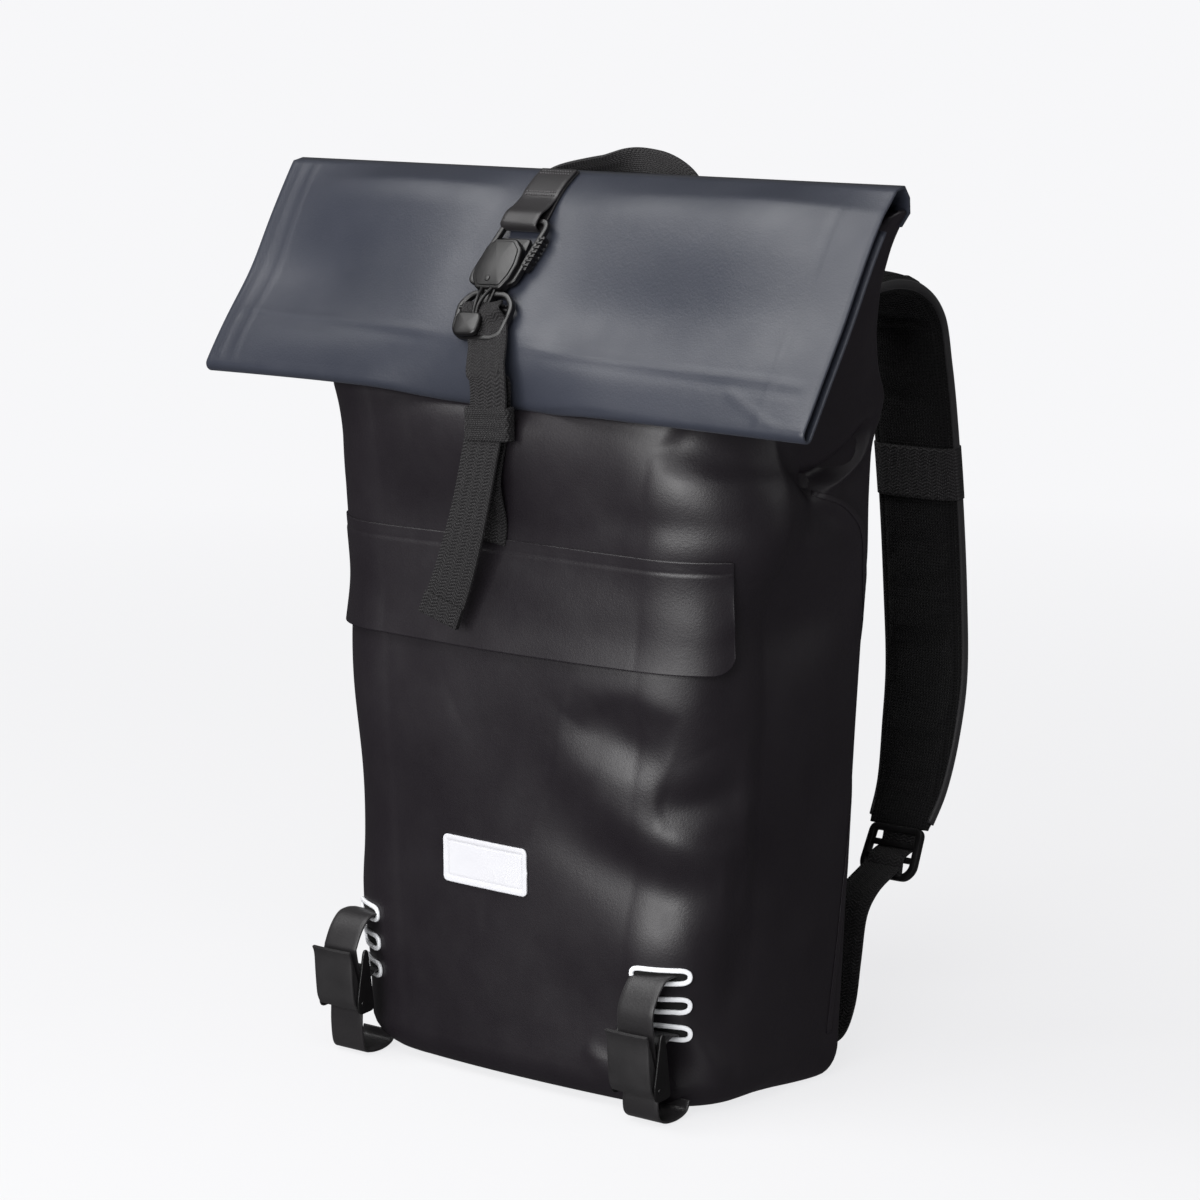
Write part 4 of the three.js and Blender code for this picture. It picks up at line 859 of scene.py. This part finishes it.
def plate_rows(outline, low, high, bevel):
    """A plate from an outline in its own plane: rings [u, v, height], drawn in at both faces along a quarter
    circle as wide as the bevel, and closed at the middle of each face."""
    outline = np.asarray(outline, float)
    along = unit(np.roll(outline, -1, 0) - np.roll(outline, 1, 0))
    inward = np.stack([-along[:, 1], along[:, 0]], -1)
    middle = outline.mean(axis=0)
    if np.sum((middle - outline) * inward) < 0:
        inward = -inward
    turns = np.linspace(0, math.pi / 2, 4)
    drawn = [outline + inward * bevel * (1 - math.sin(t)) for t in turns]
    rounded = [bevel * (1 - math.cos(t)) for t in turns]
    end = np.repeat(middle[None], len(outline), 0)
    rings = [end] + drawn + drawn[::-1] + [end]
    heights = [low] + [low + rise for rise in rounded] + [high - rise for rise in rounded[::-1]] + [high]
    return np.stack([np.concatenate([ring, np.full((len(ring), 1), height)], 1)
                     for ring, height in zip(rings, heights)])


def bar_section(wide, tall, corner):
    """A bar's section: a rectangle round the origin with rounded corners."""
    right, top = wide / 2, tall / 2
    return rounded_outline([(-right, -top), (right, -top), (right, top), (-right, top)], corner, 4)


def closed_sweep(path, section, out):
    """A section [across, out] carried round a closed path, with out fixed to the given direction."""
    along = unit(np.roll(path, -1, 0) - np.roll(path, 1, 0))
    out = np.broadcast_to(np.asarray(out, float), path.shape)
    side = unit(np.cross(out, along))
    up = unit(np.cross(along, side))
    return path[:, None] + side[:, None] * section[None, :, :1] + up[:, None] * section[None, :, 1:]


def build_anchor():
    """Smooth tape: sewn down near the crest, forward over the cloth, round the buckle's top bar and back."""
    x, bar_down, bar_out, turn = CLOSURE_X, 42.2, 4.8, 3.2
    path = smooth_path(np.concatenate([
        on_cloth(x + 1, [3.0, 8.0, 14.0, 20.0, 26.0], 0.9),
        rigid([(x + 1, 32, 1.2), (x + 0.5, 38, 1.6)]),
        rigid([(x, bar_down + turn * math.sin(a), bar_out - turn * math.cos(a))
               for a in (0.5, 1.1, 1.7, 2.3, 2.8)]),
        rigid([(x + 0.5, 37, 7.6), (x + 1, 31.5, 4.9)]),
        on_cloth(x + 1, [25.0, 20.0, 13.0, 7.0, 4.0], 2.5)]), 110)
    piece = tape("anchor_tape_cover", path, WEBBING, SMOOTH_TAPE, 1.2)
    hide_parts("anchor_tape")
    seam, threads = 21, 12
    places = x + 1 - seam / 2 + seam * np.arange(threads + 1) / threads
    stitches("anchor_stitches", [on_cloth(places, down, 3.25) for down in (6.0, 8.0, 21.0, 23.0)])


def stitches(name, rows, size=0.45, share=0.62):
    """Short threads laid end to end along rows of points, each a small rod with closed tips, thinner at both
    ends. Share says how much of the step between two points a thread takes."""
    section = circle(6, size) * np.array([0.6, 1.0, 0.6])[:, None, None]
    grids = []
    for row in rows:
        for a, b in zip(row[:-1], row[1:]):
            path = np.stack([mix(a, b, t) for t in (0.5 - share / 2, 0.5, 0.5 + share / 2)])
            ring = sweep(path, section, unit(np.cross(b - a, SLOPE_OUT)))
            grids.append((capped(ring), False, True))
    return put(name, grids, THREAD)


def moulding(corners, radius, steps, low, high, bevel):
    """A moulded plate over the roll: an outline [x, down] with its corners turned, between two stand-offs."""
    return rigid(plate_rows(rounded_outline(corners, radius, steps), low, high, bevel)), False, True


def open_frame(corners, radius, steps, section, out=4.6):
    """A bar carried round a closed outline [x, down] at one stand-off over the roll's slope."""
    outline = rounded_outline(corners[::-1], radius, steps)
    path = rigid(np.concatenate([outline, np.full((len(outline), 1), out)], 1))
    return closed_sweep(path, section, SLOPE_OUT), True, True


def build_buckle():
    """The magnetic buckle: an open upper frame with a ribbed grip, an angular plate, and a lower frame
    whose bar carries the webbing under a smooth tab. Places are [x, down] over the roll's slope."""
    upper = [(-22.5, 40.5), (6.5, 40.0), (9.0, 43.0), (1.0, 78.0), (-27.5, 78.5), (-28.0, 73.0),
             (-20.0, 43.0)]
    grids = [open_frame(upper, 4.0, 7, bar_section(3.2, 3.4, 1.0))]
    # Seven ribs down the frame's slanting right side
    for down in 50.0 + 2.7 * np.arange(7):
        x = 9.0 - (down - 43.0) * 8.0 / 35.0 + 1.5
        rib = [(x - 1.6, down), (x + 2.6, down - 0.3), (x + 2.6, down + 1.3), (x - 1.6, down + 1.6)]
        grids.append(moulding(rib, 0.5, 3, 1.6, 6.4, 0.4))
    grids.append(moulding([(8.4, 48.5), (11.0, 49.0), (6.4, 70.0), (3.6, 69.5)], 0.8, 3, 1.9, 5.6, 0.5))
    grids.append(moulding([(-21, 50), (0, 50), (-1.5, 79), (-27, 79)], 2.0, 4, 1.2, 3.6, 0.6))
    piece = put("buckle_frame_top", grids, PLASTIC, edges=SHARP)
    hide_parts("buckle_upper")

    # The angular plate, the same outline smaller as its face, and a round dot
    angular = [(-19.0, 53.5), (-5.0, 53.0), (1.0, 58.5), (2.0, 68.0), (0.6, 75.5), (-3.5, 83.0),
               (-20.0, 83.5), (-25.5, 76.5), (-26.0, 70.0), (-23.5, 58.0)]
    face = [(mix(-12.0, x, 0.86), mix(68.0, down, 0.88)) for x, down in angular]
    dot = rigid(plate_rows(np.array([-13.5, 77.6]) + circle(20, 1.7), 8.9, 9.7, 0.35)), False, True
    grids = [moulding(angular, 1.4, 4, 3.0, 8.6, 0.9), moulding(face, 1.4, 4, 8.3, 9.2, 0.4), dot]
    piece = put("buckle_cover", grids, PLASTIC, edges=SHARP)
    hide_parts("buckle_plate")

    lower = [(-22.0, 85.0), (1.0, 85.0), (7.5, 91.0), (7.0, 107.5), (2.0, 111.0), (-20.0, 111.0),
             (-25.5, 107.0), (-28.0, 92.0)]
    grids = [open_frame(lower, 3.5, 6, bar_section(3.3, 3.8, 1.1))]
    round_bar = circle(16, 1.9)
    bar = rigid(np.stack([np.linspace(-27.0, 6.5, 12), np.full(12, 94.5), np.full(12, 5.0)], -1))
    grids.append((capped(sweep(bar, round_bar, (0, 0, 1.0))), False, True))
    neck = [(-17.5, 80), (-6.5, 80), (-7.0, 90), (-10.0, 99), (-14.5, 99), (-17.0, 90)]
    grids.append(moulding(neck, 1.5, 4, 3.0, 7.4, 0.8))
    for x in (-15.2, -8.8):
        strand = rigid(smooth_path([(x, 83, 8.0), (x * 0.6 - 4.8, 89, 9.8), (x * 0.35 - 7.8, 95, 10.2),
                                    (x * 0.35 - 7.8, 101, 8.8)], 16))
        grids.append((capped(sweep(strand, round_bar * 0.55, (1.0, 0, 0))), False, True))
    piece = put("buckle_frame_low", grids, PLASTIC, edges=SHARP)
    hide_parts("buckle_lower")

    tab = moulding([(-24.0, 98.5), (-6.5, 98.0), (-5.5, 111.5), (-21.5, 113.0)], 4.5, 8, 7.2, 10.6, 1.5)
    piece = put("buckle_tab_cover", [tab], PLASTIC, edges=SHARP)
    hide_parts("buckle_tab")


def build_closure_strap():
    """Webbing from the seam of the pocket up behind the tail, round the lower frame's bar, and down as the
    tail, which leans and turns more the lower it hangs. A hem thickens its end, and a keeper loop goes
    round it."""
    count, tail_from = 220, 120
    up = [(-8.5, body_front(-8.5, 296) - 1.6, 296), (-7.0, body_front(-7, 308) - 2.2, 308),
          (-4.0, -75.0, 330), (0.5, -75.4, 352), (3.5, -76.0, 368), (5.0, -77.4, 384)]
    climb = rigid([(3.0, 128, 0.9), (-2.0, 112, 2.0), (-8.0, 99, 2.4)])
    turn = rigid([(-10.5, 94.5 - 3.4 * math.sin(a), 5.0 - 3.4 * math.cos(a)) for a in (0.5, 1.2, 1.9, 2.6)])
    down = rigid([(-7.5, 99, 8.2), (-4.0, 104, 5.6), (1.0, 113, 5.2), (5.0, 126, 3.8)])
    tail = [(7.4, -83.6, 384), (7.4, -83.0, 372), (4.6, -82.4, 360), (1.0, -82.2, 346), (-4.2, -82.0, 325),
            (-10.0, -82.0, 304), (-18.0, -82.6, 279), (-27.2, -84.0, 254)]
    path = smooth_path(np.concatenate([up, climb, turn, down, tail]), count)
    lean = smooth(330.0, 250.0, path[:, 2]) * (np.arange(count) > tail_from)
    side = np.stack([np.cos(lean * 0.20), np.sin(lean * 0.20), 0.26 * lean], -1)
    piece = tape("closure_webbing", path, WEBBING, STRAP_WEAVE, 1.5, side=side)
    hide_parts("closure_strap")
    hem = smooth_path(path[-9:] + np.array([0.0, -1.55, 0.0]), 14)
    piece = tape("closure_hem", hem, WEBBING, STRAP_WEAVE, 1.4, side=side[-1])
    ring = rounded_outline([(-15.0, -3.6), (15.0, -3.6), (15.0, 3.2), (-15.0, 3.2)], 3.0, 7)
    loop = np.stack([ring[:, 0] + 5.2, ring[:, 1] - 79.6, 361.0 + ring[:, 0] * 0.05], -1)
    section = tape_section(18.0, 1.3)
    rows = closed_band(loop, section)
    uv = ring_map(rows, section[:, 0], run_of(loop))
    piece = put("keeper_loop", [(rows, True, True)], STRAP_WEAVE, uvs=[uv])
    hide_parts("strap_keeper")


def closed_band(path, section):
    """A band standing on edge round a closed level path: the section's width is upright, its thickness
    square to the path."""
    along = unit(np.roll(path, -1, 0) - np.roll(path, 1, 0))
    up = np.broadcast_to(np.array([0.0, 0.0, 1.0]), path.shape)
    out = unit(np.cross(along, up))
    return path[:, None] + up[:, None] * section[None, :, :1] + out[:, None] * section[None, :, 1:]


def body_front(x, z):
    """How far forward the folded cloth stands at a place on the front."""
    z = np.asarray(float(z))
    return float(body_at(way_round(np.asarray(float(x)), z), z)[1])


# Carry straps at the foot of the bag, each with its cam lever
SLOT_HEIGHTS = (78.0, 61.5, 46.0)
SLOT_ALONG, SLOT_WIDTH, SLOT_TALL = 108.0, 36.0, 10.4
CARRY_X = 105.696
LEVER_Y = -79.2
LEVER_LEAN = math.radians(6)


def build_rims(hand, sign):
    """White rims: a rounded bar round each slot, laid on the cloth, with a near-black sheet inside it as
    painted shade for the slot's opening.
    """
    half, tall = SLOT_WIDTH / 2 - 3.8, SLOT_TALL / 2 - 1.5
    section = rounded_outline([(-1.3, -0.9), (1.3, -0.9), (1.3, 0.9), (-1.3, 0.9)], 0.8, 4)
    outline = evened(rounded_outline([(-half, -tall), (half, -tall), (half, tall), (-half, tall)],
                                     tall * 1.6, 9), 96)
    shares = np.linspace(0.0, 1.0, 5)[:, None]
    for level, height in zip(("top", "middle", "bottom"), SLOT_HEIGHTS):
        z = height + outline[:, 1]
        c = way_round(sign * (SLOT_ALONG + outline[:, 0]), z)
        out = unit(body_at(c, z, 1.5) - body_at(c, z, 0.5))
        grid = closed_sweep(body_at(c, z, 0.9), section, out)
        rim = put(f"rim_{level}_{hand}", [(grid, True, True)], RIM_WHITE)
        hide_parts(f"slot_rim_{level}_{hand}")
        # A near-black sheet just over the cloth inside each rim: painted shade standing in for the slot's
        # dark opening
        z = height + outline[None, :, 1] * shares
        c = way_round(sign * (SLOT_ALONG + outline[None, :, 0] * shares), z)
        grid = np.concatenate([body_at(c, z, 0.32), body_at(c, z, -0.2)[::-1]])
        slot_shade_sheet = put(f"slot_{level}_{hand}", [(grid, False, True)], SLOT_PAINTED_SHADE)


def tilted(grid, pin_z):
    """A grid turned about the lever's pin, so that the top of the lever leans away from the bag."""
    points, close_rows, close_cols = grid
    y, z = points[..., 1] - LEVER_Y, points[..., 2] - pin_z
    turned = np.stack([points[..., 0], LEVER_Y + y * math.cos(LEVER_LEAN) - z * math.sin(LEVER_LEAN),
                       pin_z + z * math.cos(LEVER_LEAN) + y * math.sin(LEVER_LEAN)], -1)
    return turned, close_rows, close_cols


def side_plate(outline, x_near, x_far, bevel):
    """A plate from an outline [y, z], standing upright between two places across the bag."""
    rows = plate_rows(outline, min(x_near, x_far), max(x_near, x_far), bevel)
    return np.stack([rows[..., 2], rows[..., 0], rows[..., 1]], -1), False, True


def build_carry(hand, sign, pin_z):
    """A carry strap: the tape from the top slot down behind the pin and under the bag, a shorter tape from
    the middle slot, a cam frame of two cheeks, a back and a pin, and the lever between the cheeks."""
    x = sign * CARRY_X
    drop = pin_z - 21.0
    route = [(-57.0, 77.6), (-63.5, 78.4), (-70.0, 77.0), (-76.0, 71.0), (-80.4, 62.5),
             (-80.8, 54.0 + drop * 0.6), (-79.2, 42.0 + drop), (-77.0, 30.0 + drop), (-76.2, 20.0 + drop),
             (-76.4, 9.0 + drop * 0.7), (-74.6, 3.8), (-69.0, 1.1), (-60.0, 1.0), (-52.5, 3.6), (-50.0, 9.0)]
    path = smooth_path(in_plane(x, route), 130)
    piece = tape(f"carry_tape_{hand}_cover", path, 24.0, SMOOTH_TAPE, 1.3)
    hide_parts(f"carry_tape_{hand}")
    back = smooth_path(in_plane(x, [(-58.0, 45.4), (-64.5, 46.0), (-70.0, 42.0), (-72.6, 34.0),
                                    (-73.6, 25.0 + drop * 0.4), (-74.0, 18.0 + drop * 0.6)]), 50)
    piece = tape(f"carry_anchor_{hand}_cover", back, 22.0, SMOOTH_TAPE, 1.3)
    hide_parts(f"carry_anchor_{hand}")

    cheek = [(-70.4, pin_z - 6.0), (-82.6, pin_z - 6.0), (-83.2, pin_z + 1.0), (-75.0, pin_z + 29.5),
             (-71.6, pin_z + 29.5)]
    base = [(-73.4, pin_z - 4.0), (-71.2, pin_z - 4.0), (-71.2, pin_z + 10.0), (-73.4, pin_z + 10.0)]
    cheek = rounded_outline(cheek, 3.2, 8)
    grids = [side_plate(cheek, x + edge * 13.7, x + edge * 15.3, 0.5) for edge in (-1, 1)]
    grids.append(side_plate(rounded_outline(base, 0.9, 4), x - 13.8, x + 13.8, 0.4))
    grids.append(side_plate(np.array([LEVER_Y, pin_z]) + circle(20, 1.5), x - 15.9, x + 15.9, 0.4))
    piece = put(f"cam_frame_{hand}_cover", [tilted(grid, pin_z) for grid in grids], PLASTIC, edges=SHARP)
    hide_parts(f"cam_frame_{hand}")

    # The lever: a sheet along its profile, bowed across by a parabola, with a flange at each side
    half = 13.2
    across = x + np.linspace(-half, half, 25)
    profile = [(-83.0, pin_z - 2.2), (-84.6, pin_z + 3.0), (-84.6, pin_z + 14.0), (-84.2, pin_z + 24.0),
               (-84.4, pin_z + 28.0), (-85.3, pin_z + 31.0)]
    profile = smooth_path(in_plane(0, profile), 40)
    bowed = 0.5 * (1 - ((across - x) / half) ** 2)
    sheet = np.stack([np.stack([across, y - bowed, np.full_like(across, z)], -1) for _, y, z in profile])
    flange = [(-77.4, pin_z - 3.0), (-84.2, pin_z - 2.2), (-84.9, pin_z + 4.0), (-84.6, pin_z + 25.0),
              (-82.6, pin_z + 25.6), (-79.4, pin_z + 12.0), (-76.6, pin_z + 3.0)]
    grids = [(slab(sheet, 1.9), False, True)]
    flange = rounded_outline(flange, 1.6, 5)
    grids += [side_plate(flange, x + edge * 12.1, x + edge * 13.4, 0.4) for edge in (-1, 1)]
    grids = [tilted(grid, pin_z) for grid in grids]
    piece = put(f"cam_lever_{hand}_cover", grids, LEVER_PLASTIC, f"lever_{hand}", edges=SHARP)
    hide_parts(f"cam_lever_{hand}")


# Shoulder straps: rows of side offset, reach back, height, width and thickness
PAD_ROWS = np.array([
    (90.0, 0.0, 410.3, 45.9, 6.6), (92.0, 21.1, 420.8, 48.1, 9.9), (94.0, 51.5, 427.0, 50.2, 11.0),
    (96.0, 74.9, 422.7, 51.8, 11.0), (98.0, 88.9, 407.5, 54.0, 11.0), (100.0, 93.6, 380.8, 54.0, 11.0),
    (100.0, 99.5, 349.9, 54.0, 11.0), (100.0, 106.5, 299.9, 54.0, 11.0), (100.0, 111.2, 249.9, 54.0, 11.0),
    (100.0, 113.5, 204.7, 52.9, 11.0), (100.0, 108.8, 169.9, 50.2, 11.0), (100.0, 101.8, 139.9, 44.8, 9.9),
    (100.0, 91.3, 118.0, 40.0, 6.6),
])
SLEEVE_AT = 320.0
PAD_STEPS = 190


def puff(piece, path, wide, pressure=2.2, cap=4.0):
    """Blows the piece up a little as cloth and keeps the shape reached. Its bound edges, nine rows at each
    end and the part under the sleeve are held, with soft steps between held and free, and no point moves
    further than the cap in millimetres."""
    mesh = piece.data
    count = len(mesh.vertices)
    start = np.empty(count * 3)
    mesh.vertices.foreach_get("co", start)
    start = start.reshape(-1, 3)
    centre = (path + np.array([0.0, SHIFT_Y, 0.0])) * MM
    nearest = np.argmin(((start[:, None, 1:] - centre[None, :, 1:]) ** 2).sum(axis=-1), axis=1)
    share = np.abs(start[:, 0] - centre[nearest, 0]) / (wide[nearest] / 2 * MM)
    from_end = np.minimum(nearest, len(path) - 1 - nearest)
    free = 1 - np.maximum(smooth(0.74, 0.9, share), 1 - from_end / 9.0)
    free = np.clip(free, 0, 1) * (1 - np.exp(-((path[nearest, 2] - SLEEVE_AT) / 30.0) ** 4))
    group = piece.vertex_groups.new(name="held")
    for level in range(11):
        chosen = np.flatnonzero(np.round((1 - free) * 10) == level)
        if len(chosen) and level:
            group.add(chosen.tolist(), level / 10, "REPLACE")
    cloth = piece.modifiers.new("cloth", "CLOTH")
    settings = cloth.settings
    settings.quality = 5
    settings.mass = 0.2
    settings.tension_stiffness = settings.compression_stiffness = 12
    settings.shear_stiffness = 4
    settings.bending_stiffness = 0.4
    settings.use_pressure = True
    settings.uniform_pressure_force = pressure
    settings.vertex_group_mass = "held"
    settings.effector_weights.gravity = 0
    settings.shrink_min = -0.03
    cloth.point_cache.frame_start, cloth.point_cache.frame_end = 1, 20
    scene = bpy.context.scene
    for frame_number in range(1, 17):
        scene.frame_set(frame_number)
    shaped = piece.evaluated_get(bpy.context.evaluated_depsgraph_get()).to_mesh()
    after = np.empty(count * 3)
    shaped.vertices.foreach_get("co", after)
    move = after.reshape(-1, 3) - start
    length = np.linalg.norm(move, axis=1, keepdims=True)
    move *= np.minimum(1.0, cap * MM / np.maximum(length, 1e-9)) * free[:, None]
    piece.evaluated_get(bpy.context.evaluated_depsgraph_get()).to_mesh_clear()
    piece.modifiers.remove(cloth)
    piece.vertex_groups.remove(group)
    mesh.vertices.foreach_set("co", (start + move).astype(np.float32).ravel())
    mesh.update()
    scene.frame_set(1)


def build_pad(hand, sign):
    """A padded strap: a flat rounded section carried along its curve, fuller in the middle, with a bound
    edge and an elastic sleeve. The section is a squared circle: the cosine and the sine of the turn, each
    to a power."""
    centre = np.stack([sign * PAD_ROWS[:, 0], HALF_DEPTH + PAD_GAP + PAD_ROWS[:, 4] / 2 + PAD_ROWS[:, 1],
                       PAD_ROWS[:, 2]], -1)
    dense = curved(np.concatenate([centre, PAD_ROWS[:, 3:]], axis=1))
    rows = even(dense, PAD_STEPS)
    path, wide, thick = rows[:, :3], rows[:, 3], rows[:, 4]
    length = run_of(dense[:, :3])[-1]
    run = np.linspace(0, length, PAD_STEPS)
    angle = np.linspace(0, 2 * math.pi, 65)[:-1]
    u = np.sign(np.cos(angle)) * np.abs(np.cos(angle)) ** 0.42
    v = np.sign(np.sin(angle)) * np.abs(np.sin(angle)) ** 0.8
    pinch = 1 - 0.30 * np.exp(-((np.abs(u) - 0.86) / 0.05) ** 2)
    section = np.stack([wide[:, None] / 2 * u[None], thick[:, None] / 2 * (v * pinch)[None]], -1)
    # Both ends thin out over 6 mm
    ends = smooth(0, 6, run) * smooth(0, 6, length - run)
    section[..., 1] *= (0.45 + 0.55 * ends)[:, None]
    tube = capped(sweep(path, section, (1.0, 0.0, 0.0)))
    across = np.concatenate([section[:1, :, 0], section[..., 0], section[-1:, :, 0]])
    uv = ring_map(tube, across, np.concatenate([[0.0], run, [run[-1]]]))
    piece = put(f"pad_{hand}", [(tube, False, True)], PAD_MESH, uvs=[uv])
    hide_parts(f"shoulder_pad_{hand}")
    puff(piece, path, wide)
    # The bound edge: a slim round cord of cloth along both sides
    for edge in (-1, 1):
        side = path + np.stack([edge * (wide / 2 - 0.6), np.zeros(PAD_STEPS), np.zeros(PAD_STEPS)], -1)
        cord = capped(sweep(side[2:-2], circle(12, 1.9, 2.6)))
        which = "outer" if edge == sign else "inner"
        piece = put(f"pad_{hand}_binding_{which}", [(cord, False, True)], PAD_CLOTH)
    # The elastic sleeve: an outer and an inner skin round seven steps to each side of its middle
    behind = 1000 * (np.arange(PAD_STEPS) < PAD_STEPS * 0.3)
    near = int(np.argmin(np.abs(path[:, 2] - SLEEVE_AT) + behind))
    reach = slice(near - 7, near + 8)
    section = np.stack([(wide[reach, None] / 2 + 1.3) * u[None],
                        (thick[reach, None] / 2 + 1.9) * v[None]], -1)
    outside = sweep(path[reach], section)
    inside = sweep(path[reach], section - np.stack([1.2 * u, 1.2 * v], -1)[None])
    band = np.concatenate([outside, inside[::-1]])
    uv = ring_map(band, u[None] * 26, np.concatenate([run[reach], run[reach][::-1]]))
    piece = put(f"sleeve_{hand}", [(band, True, True)], STRAP_WEAVE, uvs=[uv])
    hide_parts(f"strap_sleeve_{hand}")


def build_lower_strap(hand, sign):
    """Webbing from the bag's foot up to the ladder lock, through it and back over itself. The lock has a
    frame and two bars across, in its own plane along the webbing."""
    x = sign * 100.0
    route = [(1.4, 30), (1.8, 20), (12, 11), (28, 13), (38, 28), (43, 52), (48, 76), (58, 88), (72, 95),
             (79, 98)]
    path = smooth_path(in_plane(x, [(HALF_DEPTH + back, z) for back, z in route]), 110)
    piece = tape(f"lower_webbing_{hand}_cover", path, WEBBING, STRAP_WEAVE, 1.5)
    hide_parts(f"lower_webbing_{hand}")
    origin = np.array([x, 153.5, 104.5])
    down = unit(np.array([0.0, -0.42, -0.91]))
    out = np.array([0.0, -down[2], down[1]])

    def in_lock(points):
        """Places [across, down, out] in the lock's own plane."""
        points = np.asarray(points, float)
        across = points[..., :1] * np.array([1.0, 0, 0])
        return origin + across + points[..., 1:2] * down + points[..., 2:] * out

    ring = [(-16.0, -13.0), (16.0, -13.0), (17.0, 9.0), (13.0, 14.0), (-13.0, 14.0), (-17.0, 9.0)]
    ring = rounded_outline(ring[::-1], 3.0, 6)
    ring = in_lock(np.concatenate([ring, np.zeros((len(ring), 1))], 1))
    grids = [(closed_sweep(ring, bar_section(4.2, 4.6, 1.4), out), True, True)]
    for along, tall in ((-4.5, 1.2), (4.0, -1.0)):
        bar = in_lock(np.stack([np.linspace(-15.5, 15.5, 8), np.full(8, along), np.full(8, tall)], -1))
        grids.append((capped(sweep(bar, bar_section(3.6, 3.2, 1.0), down)), False, True))
    piece = put(f"ladder_lock_{hand}_cover", grids, PLASTIC, edges=SHARP)
    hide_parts(f"ladder_lock_{hand}")
    # Webbing through the lock: from the pad over the upper bar and round the lower one
    through = smooth_path(in_lock([(0, -22, -1.0), (0, -12, 3.6), (0, -4.5, 4.0), (0, 0, -0.5), (0, 4, -3.8),
                                   (0, 9, -3.0), (0, 16, -1.0)]), 50)
    piece = tape(f"lock_webbing_{hand}", through, 24.0, STRAP_WEAVE, 1.4)


def build_handle():
    """The grab handle: a webbing loop behind the roll, turned over part of the way along by an angle that
    steps from one lean to the other and fades at both ends as the root of a sine."""
    count, base_y = 130, MOUTH_DEPTH + 21.0
    route = [(-54, -2, 438), (-53, -1, 452), (-50, 1, 468), (-38, 2, 479), (-14, 3, 485.5), (9, 3, 488.5),
             (28, 3, 487.0), (44, 2, 479), (51, 0, 466), (53, -1, 452), (54, -2, 438)]
    path = smooth_path([(x, base_y + y, z) for x, y, z in route], count)
    share = np.linspace(0, 1, count)
    back = np.array([0.0, 1.0, 0.0])
    lean = mix(-0.75, 0.35, smooth(0.46, 0.62, share)) * np.sin(math.pi * share) ** 0.5
    side = np.cross(along_of(path), back) * np.cos(lean)[:, None] + back * np.sin(lean)[:, None]
    piece = tape("handle_webbing", path, WEBBING, STRAP_WEAVE, 2.2, side=side)
    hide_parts("grab_handle")


build_anchor()
build_buckle()
build_closure_strap()
for hand, sign, pin_z in (("right", 1, 21.0), ("left", -1, 31.0)):
    build_rims(hand, sign)
    build_carry(hand, sign, pin_z)
    build_pad(hand, sign)
    build_lower_strap(hand, sign)
build_handle()

# Floor: a plain sheet that glows like the studio, brighter and with less shadow the further it lies from the
# bag, between two distances in metres
STUDIO = 0.93
FLOOR_NEAR, FLOOR_FAR, FLOOR_HALF, FLOOR_Z = 0.35, 2.2, 60, -0.0005
floor_mesh = bpy.data.meshes.new("floor")
floor_corners = [(x * FLOOR_HALF, y * FLOOR_HALF, FLOOR_Z) for x, y in ((-1, -1), (1, -1), (1, 1), (-1, 1))]
floor_mesh.from_pydata(floor_corners, [], [(0, 1, 2, 3)])
floor = bpy.data.objects.new("floor", floor_mesh)
bpy.context.scene.collection.objects.link(floor)
floor_material, floor_tree, floor_shader = nodes_of("studio_floor")
far = node(floor_tree, "ShaderNodeVectorMath", {0: place_on(floor_tree)}, operation="LENGTH").outputs["Value"]
feed(floor_tree, floor_shader, {
    "Roughness": 1.0, "Specular IOR Level": 0.0, "Emission Color": (STUDIO, STUDIO, 0.945, 1.0),
    "Emission Strength": ranged(floor_tree, far, FLOOR_NEAR, FLOOR_FAR, 0.83, 1.0),
    "Base Color": ranged(floor_tree, far, FLOOR_NEAR, FLOOR_FAR, 0.15, 0.0)})
floor_mesh.materials.append(floor_material)
floor.visible_glossy = False

# Softboxes: azimuth and elevation in degrees, distance and size in metres, power in watts
SOFTBOXES = [
    ("key", -38, 55, 2.4, (1.7, 1.3), 36),
    ("right_top", 38, 50, 2.4, (1.5, 1.1), 14),
    ("overhead", 0, 88, 2.6, (3.0, 3.0), 8),
    ("front_key", 8, 14, 2.6, (2.4, 1.2), 80),
    ("side_fill", 112, 22, 3.0, (1.4, 1.8), 7),
]


def softbox(name, azimuth, elevation, distance, size, power):
    """A rectangular area light that faces the bag's middle."""
    data = bpy.data.lights.new(name, "AREA")
    data.shape = "RECTANGLE"
    data.size, data.size_y = size
    data.energy = power
    light = bpy.data.objects.new(name, data)
    bpy.context.scene.collection.objects.link(light)
    az, el = math.radians(azimuth), math.radians(elevation)
    aim = np.array([0.0, SHIFT_Y * MM, 0.25])
    toward = np.array([math.sin(az) * math.cos(el), -math.cos(az) * math.cos(el), math.sin(el)])
    light.location = aim + distance * toward
    light.rotation_euler = (math.pi / 2 - el, 0.0, az)


for row in SOFTBOXES:
    softbox(*row)

# The world: as bright as the studio to the camera, and a faint fill to everything else
world = bpy.data.worlds.new("studio")
bpy.context.scene.world = world
world.use_nodes = True
tree = world.node_tree
seen = tree.nodes.new("ShaderNodeLightPath").outputs["Is Camera Ray"]
feed(tree, tree.nodes["Background"], {"Color": (1.0, 1.0, 1.01, 1.0),
                                      "Strength": ranged(tree, seen, 0.0, 1.0, 0.05, STUDIO)})
bpy.context.scene.view_settings.view_transform = "Standard"
